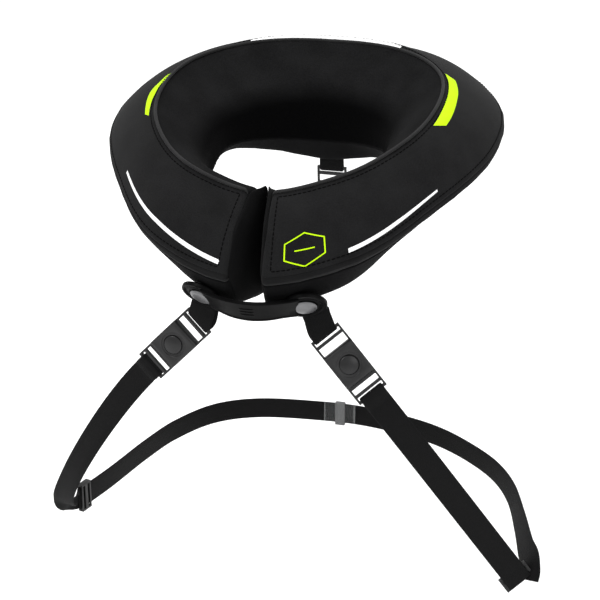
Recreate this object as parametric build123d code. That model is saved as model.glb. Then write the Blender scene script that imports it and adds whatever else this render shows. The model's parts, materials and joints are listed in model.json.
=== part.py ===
from build123d import *
from math import cos, radians, sin
import os

# Split-front foam neck protector with a webbing chest harness.
# Millimetres and degrees. +Z is up, the split faces -Y, and the origin is the middle of the neck
# opening. Angles run from the front, round either side, to 180 at the back.

# ---- Driving dimensions ----------------------------------------------------------------------
COLLAR_WIDTH = 328          # across the widest part of the flange
COLLAR_HEIGHT = 144         # from the lowest edge at the chest to the top of the rim at the back
SHAPE_WIDTH = 328           # the width and height that the seven-station shape below is drawn for
SHAPE_HEIGHT = 144

# The collar's corner lines at seven stations, every 30 degrees from the front to the back
RIM = ((102, 109, 108, 108, 113, 115, 110), (-10, 3, 20, 35, 46, 52, 54))
EDGE = ((147, 145, 140, 152, 164, 162, 146), (-58, -45, -20, 2, 19, 34, 26))
THROAT = ((76, 76, 73, 71, 74, 78, 80), (-24, -16, -8, 5, 10, 14, 16))
TUBE = ((78, 76, 70, 66, 72, 77, 78), (-62, -58, -42, -24, -18, -20, -22))
BASE_OUT = ((128, 118, 100, 90, 96, 112, 122), (-84, -78, -56, -32, -22, -26, -36))
BASE_IN = ((98, 94, 84, 76, 82, 94, 98), (-90, -84, -62, -38, -28, -36, -46))

SPLIT_ANGLE = 5             # half of the front gap, where the covers end
TIP_SHARE = 0.15            # how much of the wall's depth is left where the end caps meet
TIP_GAP = 0.3               # from the middle plane to an end cap's tip
BACK_ANGLE = 0.1            # half of the gap between the halves at the back hinge line
PANEL_STEPS = 18            # stations along each half
SKIN = 3.0                  # thickness of the covers
CROWN = 5.0                 # how far the outer panel swells
EDGE_THICK = 9.0            # height of the binding round the flange
PIPING_RADIUS = 2.0

TRIM_LIFT = 0.6             # prints and reflective strips above the panel
TRIM_THICK = 0.6

WEB_WIDTH = 20.0            # harness webbing
WEB_THICK = 1.4
STUD_ANGLE = 17.5           # where the snaps sit, round from the front
STUD_SHARE = 0.05           # how far up the base the snaps sit
STUD_RADIUS = 2.4
STUD_HEAD_RADIUS = 3.0
STUD_FLANGE_RADIUS = 6.5
STUD_FLANGE = (0.3, 1.1)    # heights of the stud's flange above the cover
STUD_HEAD_THICK = 1.2
WASHER_RADIUS = 6.0
WASHER_DEPTH = 5.0          # from the base surface down to the backing washer
WASHER_THICK = 1.0
CAP_RADIUS = 8.5
CAP_THICK = 2.2
CAP_ROUND = 1.6
SOCKET_RADIUS = 6.4
SOCKET_THICK = 2.0
SOCKET_CAVITY = 1.8         # depth of the socket's hole for the stud's head
FIT = 0.3                   # clearance round loose parts

BRIDGE_THICK = 3.0
BRIDGE_WIDTH = 15.0
EYELET_RADIUS = 16.0
BRIDGE_REACH = 8.0          # how far the middle of the bridge stands off the base's front edge
PEEL_SHARE = -0.5           # where the bridge bends when it is peeled, from -1 left to 1 right
PEEL_GAP = 0.01
BAND_END = 0.8              # where the band runs into an eyelet

BUCKLE_WIDTH = 25.0
BUCKLE_HOUSING = 29.0       # length of the middle block
BUCKLE_FRAME = 14.5         # length of each ladder end
BUCKLE_THICK = 9.0
BAR = 2.2                   # bars of the ladder ends
THIN_SLOT = 3.0
SIDE_RAIL = 1.6
FRAME_THICK = 3.0
TONGUE_WIDTH = 14.0
TONGUE_LENGTH = 13.0
TONGUE_THICK = 1.8
BUTTON_RADIUS = 7.2
RING_WIDTH = 2.4            # recessed ring round the button
RING_DEPTH = 0.6
BUTTON_PROUD = 0.8          # how far the push button stands off the housing
BUTTON_FOOT = 0.8           # thickness of the button's foot
BUTTON_DEPTH = 2.0          # from the housing's face down to the ledge over the button's foot
BUTTON_FLANGE = 0.6         # the button's foot beyond its top
CAVITY = (-3.2, -0.8)       # heights of the slot that the tongue slides into
HOUSING_ROUND = 2.5         # rounding of the housing's ends
SHOULDER = (-3.4, 1.5)      # heights of the tongue's shoulder, which meets the housing
SHOULDER_LENGTH = 2.4
SPRING_RADII = (5.5, 4.7)

LOOP_WIDTH = 376            # chest loop, across
LOOP_HEIGHT = -305          # height of the loop's middle line
REAR_STRAP_END = -338       # lowest point of the rear strap
REAR_STRAP_WIDTH = 30.0
REAR_STRAP_THICK = 1.6
KEEPER_WIDTH = 9.0
KEEPER_WALL = 1.0
SLIDER_LENGTH = 12.0
SLIDER_START = 8.0          # from the back strap's left end to the middle of the left slider
JOIN_GAP = 2.0              # between the left lower strap's end and the back strap's end

os.makedirs("parts", exist_ok=True)
SIDES = (("left", -1), ("right", 1))


# ---- Helpers -----------------------------------------------------------------------------------
def save(name, shape):
    """Write one node."""
    shape.label = name
    export_step(shape, f"parts/{name}.step")
    print(f"{name:26s} {shape.volume:10.1f}")


def smooth(values, angle):
    """Value at an angle, on a curve through the stations that is level at the front and back."""
    last = len(values) - 1
    place = angle / 180 * last
    index = min(int(place), last - 1)
    t = place - index
    a = values[abs(index - 1)]
    b = values[index]
    c = values[index + 1]
    d = values[index + 2] if index + 2 <= last else values[last - 1]
    return b + t / 2 * (c - a + t * (2 * a - 5 * b + 4 * c - d + t * (3 * (b - c) + d - a)))


def corner(line, angle):
    """Radius and height of a corner line at an angle."""
    radius = smooth(line[0], angle) * COLLAR_WIDTH / SHAPE_WIDTH
    return radius, smooth(line[1], angle) * COLLAR_HEIGHT / SHAPE_HEIGHT


def outline(angle):
    """The collar's section: rim, throat, tube, base inside, base outside, edge low, edge, crown."""
    rim = corner(RIM, angle)
    edge = corner(EDGE, angle)
    low = (edge[0] - EDGE_THICK * 0.45, edge[1] - EDGE_THICK * 0.9)
    run = (rim[0] - edge[0], rim[1] - edge[1])
    length = (run[0] ** 2 + run[1] ** 2) ** 0.5
    crown = (edge[0] + run[0] / 2 + CROWN * run[1] / length, edge[1] + run[1] / 2 - CROWN * run[0] / length)
    inner = [corner(line, angle) for line in (THROAT, TUBE, BASE_IN, BASE_OUT)]
    return [rim] + inner + [low, edge, crown]


def inset(points, distance):
    """A closed outline moved inwards by one distance, with mitred corners."""
    count = len(points)
    area = sum(points[i - 1][0] * points[i][1] - points[i][0] * points[i - 1][1] for i in range(count))
    turn = 1 if area > 0 else -1
    moved = []
    for i in range(count):
        before, here, after = points[i - 1], points[i], points[(i + 1) % count]
        first = Vector(here[0] - before[0], here[1] - before[1]).normalized()
        second = Vector(after[0] - here[0], after[1] - here[1]).normalized()
        normal_a = Vector(-first.Y, first.X) * turn
        normal_b = Vector(-second.Y, second.X) * turn
        both = (normal_a + normal_b).normalized()
        reach = distance / max(both.dot(normal_a), 0.4)
        moved.append((here[0] + both.X * reach, here[1] + both.Y * reach))
    return moved


def ring_point(side, angle, place):
    """A point in space from a side, an angle from the front, and a radius and height."""
    return Vector(side * place[0] * sin(radians(angle)), -place[0] * cos(radians(angle)), place[1])


def loft_of(polygons):
    """A closed solid through polygons with the same number of corners."""
    return Solid.make_loft([Wire.make_polygon(corners) for corners in polygons], ruled=True)


def ring_solid(side, angles, section):
    """A solid that follows the collar, from a function that gives the section at an angle."""
    return loft_of([[ring_point(side, a, p) for p in section(a)] for a in angles])


def ribbon(stations, width, thickness):
    """Flat webbing through stations, each a middle point, a width direction and a face direction."""
    polygons = []
    for middle, across, face in stations:
        w = across.normalized() * width / 2
        n = face.normalized() * thickness / 2
        polygons.append([middle - w - n, middle + w - n, middle + w + n, middle - w + n])
    return loft_of(polygons)


def bezier(a, b, c, d, t):
    """A point on a cubic curve with four control points."""
    return a * (1 - t) ** 3 + b * 3 * t * (1 - t) ** 2 + c * 3 * t ** 2 * (1 - t) + d * t ** 3


def disc(plane, radius, low, high):
    """A round solid on a plane's axis, between two heights."""
    return plane * Pos(0, 0, (low + high) / 2) * Cylinder(radius, high - low)


def block(plane, x0, x1, y0, y1, z0, z1):
    """A box in a plane's own directions."""
    return plane * Pos((x0 + x1) / 2, (y0 + y1) / 2, (z0 + z1) / 2) * Box(x1 - x0, y1 - y0, z1 - z0)


# ---- Snap, bridge and buckle places ---------------------------------------------------------------
def stud_plane(side):
    """A plane on the base surface under a snap, with Z outwards and X round the collar."""
    points = outline(STUD_ANGLE)
    base, low = points[4], points[5]
    place = (base[0] + (low[0] - base[0]) * STUD_SHARE, base[1] + (low[1] - base[1]) * STUD_SHARE)
    rise = Vector(low[0] - base[0], low[1] - base[1]).normalized()
    round_way = Vector(side * cos(radians(STUD_ANGLE)), sin(radians(STUD_ANGLE)), 0)
    out = ring_point(side, STUD_ANGLE, (rise.Y, -rise.X))
    return Plane(origin=ring_point(side, STUD_ANGLE, place), x_dir=round_way * side, z_dir=out)


WEB_LAYER = 2.2             # middle of the webbing above the base surface, at a snap
BRIDGE_LAYER = WEB_LAYER + WEB_THICK / 2 + FIT          # underside of the bridge
SEAT = 0.1                  # between faces that rest on each other
CAP_LAYER = BRIDGE_LAYER + BRIDGE_THICK + SEAT
SOCKET_TOP = BRIDGE_LAYER + SEAT + SOCKET_THICK

# Each buckle hangs from its snap: where its top bar is, which way it runs, and which way it faces
BUCKLE_OFFSET = {"left": Vector(-6.5, 14.5, -25), "right": Vector(10.5, 14.5, -25)}
BUCKLE_RUN = {"left": Vector(-0.69, 0, -0.72), "right": Vector(0.64, 0, -0.77), "rear": Vector(0, 0.1, -1)}
BUCKLE_FACE = {"left": Vector(-0.08, -1, 0.08), "right": Vector(0.31, -0.9, 0.26), "rear": Vector(0, 1, 0.1)}
REAR_TAB_DROP = 8.0         # from the base's lowest back edge down to the rear buckle


def buckle_top(name):
    """The middle of a buckle's top bar."""
    if name == "rear":
        base = corner(BASE_IN, 180)
        return Vector(0, base[0] + 14, base[1] - REAR_TAB_DROP)
    side = -1 if name == "left" else 1
    return stud_plane(side).origin + stud_plane(side).z_dir * CAP_LAYER + BUCKLE_OFFSET[name]


def buckle_plane(name):
    """A buckle's own directions: Y along it, away from the collar, and Z out of its face."""
    run = BUCKLE_RUN[name].normalized()
    face = BUCKLE_FACE[name]
    face = (face - run * face.dot(run)).normalized()
    return Plane(origin=buckle_top(name), x_dir=run.cross(face), z_dir=face)


BUCKLE_LENGTH = BUCKLE_HOUSING + 2 * BUCKLE_FRAME + FIT
BAR_MIDDLE = BAR / 2


def buckle_point(name, along, above=0.0):
    """A point on a buckle's middle line."""
    plane = buckle_plane(name)
    return plane.origin + plane.y_dir * along + plane.z_dir * above


# ---- Collar halves ---------------------------------------------------------------------------------
def angles_between(first, last, steps):
    """Evenly spaced angles, with both ends."""
    return [first + (last - first) * i / steps for i in range(steps + 1)]


def skin_section(first, last):
    """Section of a cover over some corners of the outline, from its outer face to its inner one."""
    def section(angle):
        outer = outline(angle)
        inner = inset(outer, SKIN)
        order = [i % len(outer) for i in range(first, last + 1)]
        return [outer[i] for i in order] + [inner[i] for i in reversed(order)]
    return section


def core_section(angle):
    """Section of the foam inside the covers."""
    return inset(outline(angle), SKIN)


def piping_section(angle):
    """A six-sided bead that stands on the rim."""
    rim = outline(angle)[0]
    middle = (rim[0] + 0.2, rim[1] + PIPING_RADIUS + FIT)
    turns = [radians(60 * i + 30) for i in range(6)]
    return [(middle[0] + PIPING_RADIUS * cos(t), middle[1] + PIPING_RADIUS * sin(t)) for t in turns]


def tip_section(angle):
    """The thin section where an end cap meets the other one, at the neck side."""
    line = corner(THROAT, angle)[0] + SKIN
    return [(line + TIP_SHARE * (r - line), z) for r, z in outline(angle)]


def end_cap(side):
    """The wedge that closes the split towards the neck."""
    root = [ring_point(side, SPLIT_ANGLE, p) for p in outline(SPLIT_ANGLE)]
    tip = [Vector(side * TIP_GAP, -r, z) for r, z in tip_section(SPLIT_ANGLE)]
    return loft_of([root, tip])


def panel_place(angle, share, lift):
    """Radius and height on the outer panel: share 0 at the flange's edge, 1 at the rim."""
    points = outline(angle)
    edge, crown, rim = points[6], points[7], points[0]
    start, end, part = (edge, crown, share * 2) if share < 0.5 else (crown, rim, share * 2 - 1)
    run = Vector(end[0] - start[0], end[1] - start[1])
    out = Vector(run.Y, -run.X).normalized() * lift
    return start[0] + run.X * part + out.X, start[1] + run.Y * part + out.Y


def trim(side, angles, low_share, high_share):
    """A thin strip on the outer panel between two shares of its width, which may change along it."""
    polygons = []
    for i, angle in enumerate(angles):
        t = i / (len(angles) - 1)
        low = low_share[0] + (low_share[1] - low_share[0]) * t
        high = high_share[0] + (high_share[1] - high_share[0]) * t
        top = TRIM_LIFT + TRIM_THICK
        places = [panel_place(angle, low, TRIM_LIFT), panel_place(angle, high, TRIM_LIFT)]
        places += [panel_place(angle, high, top), panel_place(angle, low, top)]
        polygons.append([ring_point(side, angle, p) for p in places])
    return loft_of(polygons)


# Angles and panel shares of the prints and reflective strips
NEON_ANGLES = {"left": (72, 104), "right": (79, 119)}
NEON_LOW = {"left": (0.81, 0.90), "right": (0.76, 0.84)}
NEON_HIGH = {"left": (0.92, 0.95), "right": (0.90, 0.90)}
STRIP_ANGLES = {"left": (6, 55.5), "right": (29.5, 62)}
STRIP_LOW = {"left": (0.08, 0.24), "right": (0.08, 0.16)}
STRIP_WIDE = 0.045
BACK_STRIP_START = 150
BACK_STRIP_SHARE = (0.90, 0.97)
EMBLEM_ANGLES = (11.3, 22.7)
EMBLEM_SHARE = (0.08, 0.44)
EMBLEM_LINE = 0.03          # line width, as a share of the panel
EMBLEM_TURN = 0.9           # line width, as an angle


def emblem():
    """A plain outlined four-sided figure on the right panel, one solid for each line."""
    low, high = EMBLEM_SHARE
    start, end = EMBLEM_ANGLES
    lines = []
    for share in (low, high - EMBLEM_LINE):
        lines.append(trim(1, angles_between(start, end, 4), (share,) * 2, (share + EMBLEM_LINE,) * 2))
    for angle in (start, end - EMBLEM_TURN):
        turn = (angle, angle + EMBLEM_TURN)
        lines.append(trim(1, turn, (low + EMBLEM_LINE,) * 2, (high - EMBLEM_LINE,) * 2))
    return Compound(children=lines)


def make_half(name, side):
    """All the fixed pieces of one half of the collar."""
    angles = angles_between(SPLIT_ANGLE, 180 - BACK_ANGLE, PANEL_STEPS)
    stud = stud_plane(side)
    pocket = disc(stud, WASHER_RADIUS + FIT, -WASHER_DEPTH - FIT, -WASHER_DEPTH + WASHER_THICK + FIT)
    pocket += disc(stud, STUD_RADIUS + FIT, -WASHER_DEPTH, STUD_FLANGE[1])
    pocket += disc(stud, STUD_FLANGE_RADIUS + FIT, 0, STUD_FLANGE[1] + FIT)
    save(f"foam_core_{name}", ring_solid(side, angles, core_section) - pocket)
    save(f"funnel_lining_{name}", ring_solid(side, angles, skin_section(0, 3)))
    save(f"base_cover_{name}", ring_solid(side, angles, skin_section(3, 5)) - pocket)
    save(f"edge_binding_{name}", ring_solid(side, angles, skin_section(5, 6)))
    save(f"outer_panel_{name}", ring_solid(side, angles, skin_section(6, 8)))
    save(f"rim_piping_{name}", ring_solid(side, angles, piping_section))
    save(f"end_cap_{name}", end_cap(side))
    neon = angles_between(*NEON_ANGLES[name], 6)
    save(f"neon_patch_{name}", trim(side, neon, NEON_LOW[name], NEON_HIGH[name]))
    strip = angles_between(*STRIP_ANGLES[name], 10)
    low = STRIP_LOW[name]
    high = (low[0] + STRIP_WIDE, low[1] + STRIP_WIDE)
    save(f"reflective_strip_{name}", trim(side, strip, low, high))
    back = angles_between(BACK_STRIP_START, 180 - BACK_ANGLE, 4)
    save(f"rear_reflective_{name}", trim(side, back, (BACK_STRIP_SHARE[0],) * 2, (BACK_STRIP_SHARE[1],) * 2))


def make_snap(name, side):
    """Washer, stud, socket and cap of one snap fastener, and the webbing tab that it holds."""
    stud = stud_plane(side)
    save(f"stud_washer_{name}",
         disc(stud, WASHER_RADIUS, -WASHER_DEPTH, -WASHER_DEPTH + WASHER_THICK)
         - disc(stud, STUD_RADIUS, -WASHER_DEPTH - 1, 0))
    head_low = BRIDGE_LAYER + FIT
    shape = disc(stud, STUD_RADIUS, -WASHER_DEPTH, head_low + STUD_HEAD_THICK)
    shape += disc(stud, STUD_FLANGE_RADIUS, *STUD_FLANGE)
    shape += disc(stud, STUD_HEAD_RADIUS, head_low, head_low + STUD_HEAD_THICK)
    save(f"snap_stud_{name}", shape)
    socket = disc(stud, SOCKET_RADIUS, BRIDGE_LAYER + SEAT, SOCKET_TOP)
    socket -= disc(stud, STUD_HEAD_RADIUS + FIT, BRIDGE_LAYER, BRIDGE_LAYER + SOCKET_CAVITY)
    save(f"snap_socket_{name}", socket)
    dome = disc(stud, CAP_RADIUS, CAP_LAYER, CAP_LAYER + CAP_THICK)
    top_edge = dome.edges().group_by(SortBy.LENGTH)[-1].sort_by(Axis(stud.origin, stud.z_dir))[-1]
    dome = fillet(top_edge, CAP_ROUND)
    dome += disc(stud, STUD_RADIUS, SOCKET_TOP, CAP_LAYER + SEAT)
    save(f"snap_cap_{name}", dome)
    save(f"webbing_tab_{name}", webbing_tab(name, stud))


def webbing_tab(name, stud):
    """Webbing from under the snap, round the buckle's top bar."""
    buckle = buckle_plane(name)
    start = stud.origin + stud.z_dir * WEB_LAYER
    toward = buckle.origin - start
    down = (toward - stud.z_dir * toward.dot(stud.z_dir)).normalized()
    across = down.cross(stud.z_dir)
    end = buckle_point(name, -WEB_THICK, 0)
    if across.dot(buckle.x_dir) < 0:
        across = across * -1
    stations = [(start - down * 9, across, stud.z_dir)]
    stations += [(start + down * (EYELET_RADIUS + 1), across, stud.z_dir)]
    stations += [(end, buckle.x_dir, buckle.z_dir)]
    web = ribbon(stations, WEB_WIDTH, WEB_THICK)
    web += bar_sleeve(buckle, BAR_MIDDLE)
    return web - disc(stud, STUD_RADIUS + 2 * FIT, 0, WEB_LAYER + 2)


def bar_sleeve(plane, along):
    """The turn of webbing round a buckle bar."""
    reach = BAR / 2 + FIT + WEB_THICK
    height = FRAME_THICK / 2 + FIT + WEB_THICK
    half = WEB_WIDTH / 2
    outer = block(plane, -half, half, along - reach, along + reach, -height, height)
    inner = block(plane, -half - 1, half + 1, along - BAR / 2 - FIT, along + BAR / 2 + FIT,
                  -FRAME_THICK / 2 - FIT, FRAME_THICK / 2 + FIT)
    return outer - inner


# ---- Bridge strap between the halves -----------------------------------------------------------------
def bridge_station(t):
    """Middle of the bridge's underside, its width direction and its face direction, from -1 to 1."""
    side = 1 if t > 0 else -1
    stud = stud_plane(side)
    base = corner(BASE_OUT, 0)
    middle = Vector(0, -base[0] - BRIDGE_REACH, base[1] - 4)
    end = stud.origin + stud.z_dir * BRIDGE_LAYER
    place = middle * (1 - t * t) + Vector(0, end.Y, end.Z) * t * t + Vector(end.X * abs(t), 0, 0)
    along = Vector(abs(end.X), (end.Y - middle.Y) * 2 * t, (end.Z - middle.Z) * 2 * t).normalized()
    face = Vector(0, -0.86, -0.5) * (1 - t * t) + stud.z_dir * t * t
    face = (face - along * face.dot(along)).normalized()
    return place, along.cross(face), face


def bridge_band(first, last, steps):
    """A length of the bridge's band."""
    stations = []
    for t in angles_between(first, last, steps):
        place, across, face = bridge_station(t)
        stations.append((place + face * BRIDGE_THICK / 2, across, face))
    return ribbon(stations, BRIDGE_WIDTH, BRIDGE_THICK)


def eyelet(side, band):
    """A round end of the bridge, joined to its band, with room for the snap socket."""
    stud = stud_plane(side)
    top = BRIDGE_LAYER + BRIDGE_THICK
    shape = disc(stud, EYELET_RADIUS, BRIDGE_LAYER, top) + band
    shape -= disc(stud, EYELET_RADIUS + 2, -6, BRIDGE_LAYER)
    shape -= disc(stud, CAP_RADIUS + FIT, top, top + 6)
    shape -= disc(stud, SOCKET_RADIUS + SEAT, BRIDGE_LAYER - BRIDGE_THICK, SOCKET_TOP)
    return shape - disc(stud, STUD_RADIUS, BRIDGE_LAYER, top + 1)


# ---- Buckles ----------------------------------------------------------------------------------------
def ladder(plane, start, way):
    """One ladder end: outer bar, thin slot, inner bar and wide slot; way 1 starts at the outer bar."""
    half = BUCKLE_WIDTH / 2
    depth = FRAME_THICK / 2

    def along(a, b):
        """Two places along the buckle, low one first."""
        ends = (start + way * a, start + way * b)
        return min(ends), max(ends)

    shape = block(plane, -half, half, *along(0, BAR), -depth, depth)
    shape += block(plane, -half, half, *along(BAR + THIN_SLOT, 2 * BAR + THIN_SLOT), -depth, depth)
    for x in (-half, half - SIDE_RAIL):
        shape += block(plane, x, x + SIDE_RAIL, *along(0, BUCKLE_FRAME), -depth, depth)
    return shape


def make_buckle(name):
    """Housing, tongue, push button and its spring."""
    plane = buckle_plane(name)
    half = BUCKLE_WIDTH / 2
    thick = BUCKLE_THICK / 2
    first = BUCKLE_FRAME
    last = BUCKLE_FRAME + BUCKLE_HOUSING
    button = Plane(origin=buckle_point(name, (first + last) / 2), x_dir=plane.x_dir, z_dir=plane.z_dir)
    body = block(Plane.XY, -half, half, first, last, -thick, thick)
    body = fillet(body.edges().filter_by(Axis.X), HOUSING_ROUND)
    body = plane * body
    cavity_low, cavity_high = CAVITY
    body -= block(plane, -TONGUE_WIDTH / 2 - FIT, TONGUE_WIDTH / 2 + FIT, last - TONGUE_LENGTH - 1, last + 1,
                  cavity_low, cavity_high)
    well = cavity_high + BUTTON_FLANGE
    wall = thick - BUTTON_DEPTH
    body -= disc(button, BUTTON_RADIUS + BUTTON_FLANGE + FIT, well, wall)
    body -= disc(button, BUTTON_RADIUS + FIT, wall - SEAT, thick + 1)
    body -= disc(button, BUTTON_RADIUS + RING_WIDTH, thick - RING_DEPTH, thick + 1)
    body += ladder(plane, 0, 1)
    save(f"buckle_housing_{name}", body)

    tongue_low = cavity_low + FIT
    tongue = block(plane, -TONGUE_WIDTH / 2, TONGUE_WIDTH / 2, last - TONGUE_LENGTH, last + FIT + 1,
                   tongue_low, tongue_low + TONGUE_THICK)
    tongue += block(plane, -half + 1, half - 1, last + FIT, last + FIT + SHOULDER_LENGTH, *SHOULDER)
    tongue += ladder(plane, BUCKLE_LENGTH, -1)
    save(f"buckle_tongue_{name}", tongue)

    foot = wall - SEAT - BUTTON_FOOT
    push = disc(button, BUTTON_RADIUS + BUTTON_FLANGE, foot, wall - SEAT)
    push += disc(button, BUTTON_RADIUS, wall - 2 * SEAT, thick + BUTTON_PROUD)
    save(f"push_button_{name}", push)
    spring = disc(button, SPRING_RADII[0], well + SEAT / 2, foot - SEAT)
    spring -= disc(button, SPRING_RADII[1], well - 1, wall)
    save(f"button_spring_{name}", spring)


# ---- Harness webbing --------------------------------------------------------------------------------
# The chest loop's middle line in plan, from the left end round the back to the right end
LOOP_PLAN = ((-172, -62), (-161, -20), (-149, 38), (-136, 82), (-112, 122), (-75, 144), (-22, 152),
             (20, 152), (62, 143), (98, 128), (130, 104), (156, 76), (174, 42), (187, -2), (197, -42),
             (203, -62))


def loop_point(index):
    """A point of the chest loop."""
    x, y = LOOP_PLAN[index]
    return Vector(x * LOOP_WIDTH / 376, y, LOOP_HEIGHT)


def loop_solid():
    """The back strap, which stands on edge."""
    last = len(LOOP_PLAN) - 1
    outer, inner = [], []
    for i in range(last + 1):
        before, after = loop_point(max(i - 1, 0)), loop_point(min(i + 1, last))
        face = (after - before).cross(Vector(0, 0, 1)).normalized() * WEB_THICK / 2
        drop = Vector(0, 0, -WEB_WIDTH / 2)
        outer.append(loop_point(i) + face + drop)
        inner.append(loop_point(i) - face + drop)
    return extrude(Face(Wire.make_polygon(outer + inner[::-1])), WEB_WIDTH, dir=(0, 0, 1))


def right_end_point():
    """The folded end of the right lower strap, in front of the chest loop's end."""
    return loop_point(-1) + Vector(-5, -13, -12)


def lower_strap(name, first, last, steps):
    """Webbing from a front buckle down to the chest loop's end, between two shares of its length."""
    plane = buckle_plane(name)
    start = buckle_point(name, BUCKLE_LENGTH + WEB_THICK)
    run = plane.y_dir
    if name == "left":
        forward = (loop_point(0) - loop_point(1)).normalized()
        end = loop_point(0) + forward * JOIN_GAP
        leave = forward * 40
        turns = ((0, plane.x_dir * -1), (0.55, Vector(0.77, -0.35, -0.5)), (0.8, Vector(0.85, -0.3, 0.05)),
                 (0.93, Vector(0.5, -0.15, 0.75)), (1, Vector(0, 0, 1)))
    else:
        end = right_end_point()
        leave = (start - end) * 0.33
        turns = ((0, plane.x_dir * -1), (1, Vector(-0.70, -0.43, -0.57)))
    lead = start + run * 60
    if turns[0][1].dot(turns[1][1]) < 0:
        turns = ((0, turns[0][1] * -1),) + turns[1:]

    def across(t):
        """Width direction at a share of the strap's length."""
        for (t0, v0), (t1, v1) in zip(turns, turns[1:]):
            if t <= t1:
                return v0 + (v1 - v0) * ((t - t0) / (t1 - t0))
        return turns[-1][1]

    stations = []
    for t in angles_between(first, last, steps):
        here = bezier(start, lead, end + leave, end, t)
        ahead = bezier(start, lead, end + leave, end, min(t + 0.01, 1))
        behind = bezier(start, lead, end + leave, end, max(t - 0.01, 0))
        along = (ahead - behind).normalized()
        wide = across(t)
        wide = (wide - along * wide.dot(along)).normalized()
        stations.append((here, wide, along.cross(wide)))
    return ribbon(stations, WEB_WIDTH, WEB_THICK)


def right_slider_plane():
    """A plane behind the right lower strap's end, with X across the webbing."""
    wide = Vector(0.70, 0.43, 0.57).normalized()
    start = buckle_point("right", BUCKLE_LENGTH + WEB_THICK)
    along = (right_end_point() - start).normalized()
    face = along.cross(wide).normalized()
    place = right_end_point() - along * (SLIDER_LENGTH / 2 - 2) - face * (WEB_THICK * 1.5 + 1.4 + 2 * FIT)
    return Plane(origin=place, x_dir=wide, z_dir=face)


def slider(plane):
    """A three-bar adjuster: a flat frame round the webbing with its middle bar in front."""
    half = WEB_WIDTH / 2 + 0.5
    gap = WEB_THICK / 2 + FIT
    length = SLIDER_LENGTH
    shape = block(plane, -half - 2, half + 2, -length / 2, length / 2, -gap - 1.4, gap + 1.4)
    shape -= block(plane, -half, half, -length, length, -gap, gap)
    for y in (-length / 4, length / 4):
        shape -= block(plane, -half, half, y - length / 9, y + length / 9, 0, gap + 3)
    return shape


def make_rear():
    """Rear tab, translucent rear strap and the keeper that joins it to the back strap."""
    plane = buckle_plane("rear")
    base = corner(BASE_IN, 180)
    out = corner(BASE_OUT, 180)
    middle = (base[0] + out[0]) / 2
    height = (base[1] + out[1]) / 2
    top = Vector(0, middle + 1, height - 1.5)
    web = ribbon([(top, plane.x_dir, plane.z_dir), (buckle_point("rear", -WEB_THICK), plane.x_dir, plane.z_dir)],
                 WEB_WIDTH, WEB_THICK)
    save("webbing_tab_rear", web + bar_sleeve(plane, BAR_MIDDLE))

    start = buckle_point("rear", BUCKLE_LENGTH + WEB_THICK)
    back = loop_point(6).Y - WEB_THICK / 2 - KEEPER_WALL - 2 * FIT - REAR_STRAP_THICK / 2
    end = Vector(0, back, LOOP_HEIGHT + WEB_WIDTH)
    side_way = Vector(1, 0, 0)
    stations = []
    for t in angles_between(0, 1, 8):
        here = bezier(start, start + Vector(0, 8, -60), end + Vector(0, 0, 70), end, t)
        stations.append((here, side_way, Vector(0, 1, 0.1 * (1 - t))))
    stations.append((Vector(0, back, REAR_STRAP_END), side_way, Vector(0, 1, 0)))
    strap = ribbon(stations, REAR_STRAP_WIDTH, REAR_STRAP_THICK)
    save("rear_strap", strap + rear_sleeve(plane))

    keeper = Plane(origin=Vector(0, loop_point(6).Y, LOOP_HEIGHT), x_dir=(0, 0, 1), z_dir=(0, 1, 0))
    depth = WEB_THICK / 2 + FIT
    half = WEB_WIDTH / 2 + FIT
    shape = block(keeper, -half - KEEPER_WALL, half + KEEPER_WALL, -KEEPER_WIDTH / 2, KEEPER_WIDTH / 2,
                  -depth - KEEPER_WALL, depth + KEEPER_WALL)
    shape -= block(keeper, -half, half, -KEEPER_WIDTH, KEEPER_WIDTH, -depth, depth)
    save("keeper", shape)


def rear_sleeve(plane):
    """The end of the rear strap, turned round the rear buckle's lowest bar."""
    return bar_sleeve(plane, BUCKLE_LENGTH - BAR_MIDDLE)


# ---- Build -------------------------------------------------------------------------------------------
for side_name, side_sign in SIDES:
    make_half(side_name, side_sign)
    make_snap(side_name, side_sign)

save("neon_emblem", emblem())
save("bridge_anchor", eyelet(-1, bridge_band(-BAND_END, PEEL_SHARE - PEEL_GAP, 3)))
save("bridge_flap", eyelet(1, bridge_band(PEEL_SHARE + PEEL_GAP, BAND_END, 8)))

for buckle_name in ("left", "right", "rear"):
    make_buckle(buckle_name)

left_end = bar_sleeve(buckle_plane("left"), BUCKLE_LENGTH - BAR_MIDDLE)
right_end = bar_sleeve(buckle_plane("right"), BUCKLE_LENGTH - BAR_MIDDLE)
save("lower_strap_left", lower_strap("left", 0, 1, 12) + left_end)
save("lower_strap_right_upper", lower_strap("right", 0, 0.35, 4) + right_end)
save("lower_strap_right_lower", lower_strap("right", 0.36, 1, 6))
save("back_strap", loop_solid())

left_run = (loop_point(1) - loop_point(0)).normalized()
left_place = loop_point(0) + left_run * SLIDER_START
save("slider_left", slider(Plane(origin=left_place, x_dir=(0, 0, 1), z_dir=left_run.cross(Vector(0, 0, 1)))))
save("slider_right", slider(right_slider_plane()))
make_rear()

peel_place, peel_across, peel_face = bridge_station(PEEL_SHARE)
print("peel point", peel_place + peel_face * BRIDGE_THICK, "axis", peel_across)
for buckle_name in ("left", "right", "rear"):
    frame = buckle_plane(buckle_name)
    print(buckle_name, "run", frame.y_dir, "face", frame.z_dir, "top", frame.origin)
print("left slider run", left_run, "hinge y", corner(EDGE, 180)[0] + 0.5)
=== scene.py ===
import json
from math import atan2, cos, degrees, pi, radians, sin, sqrt

import bpy
from mathutils import Matrix, Vector


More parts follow.
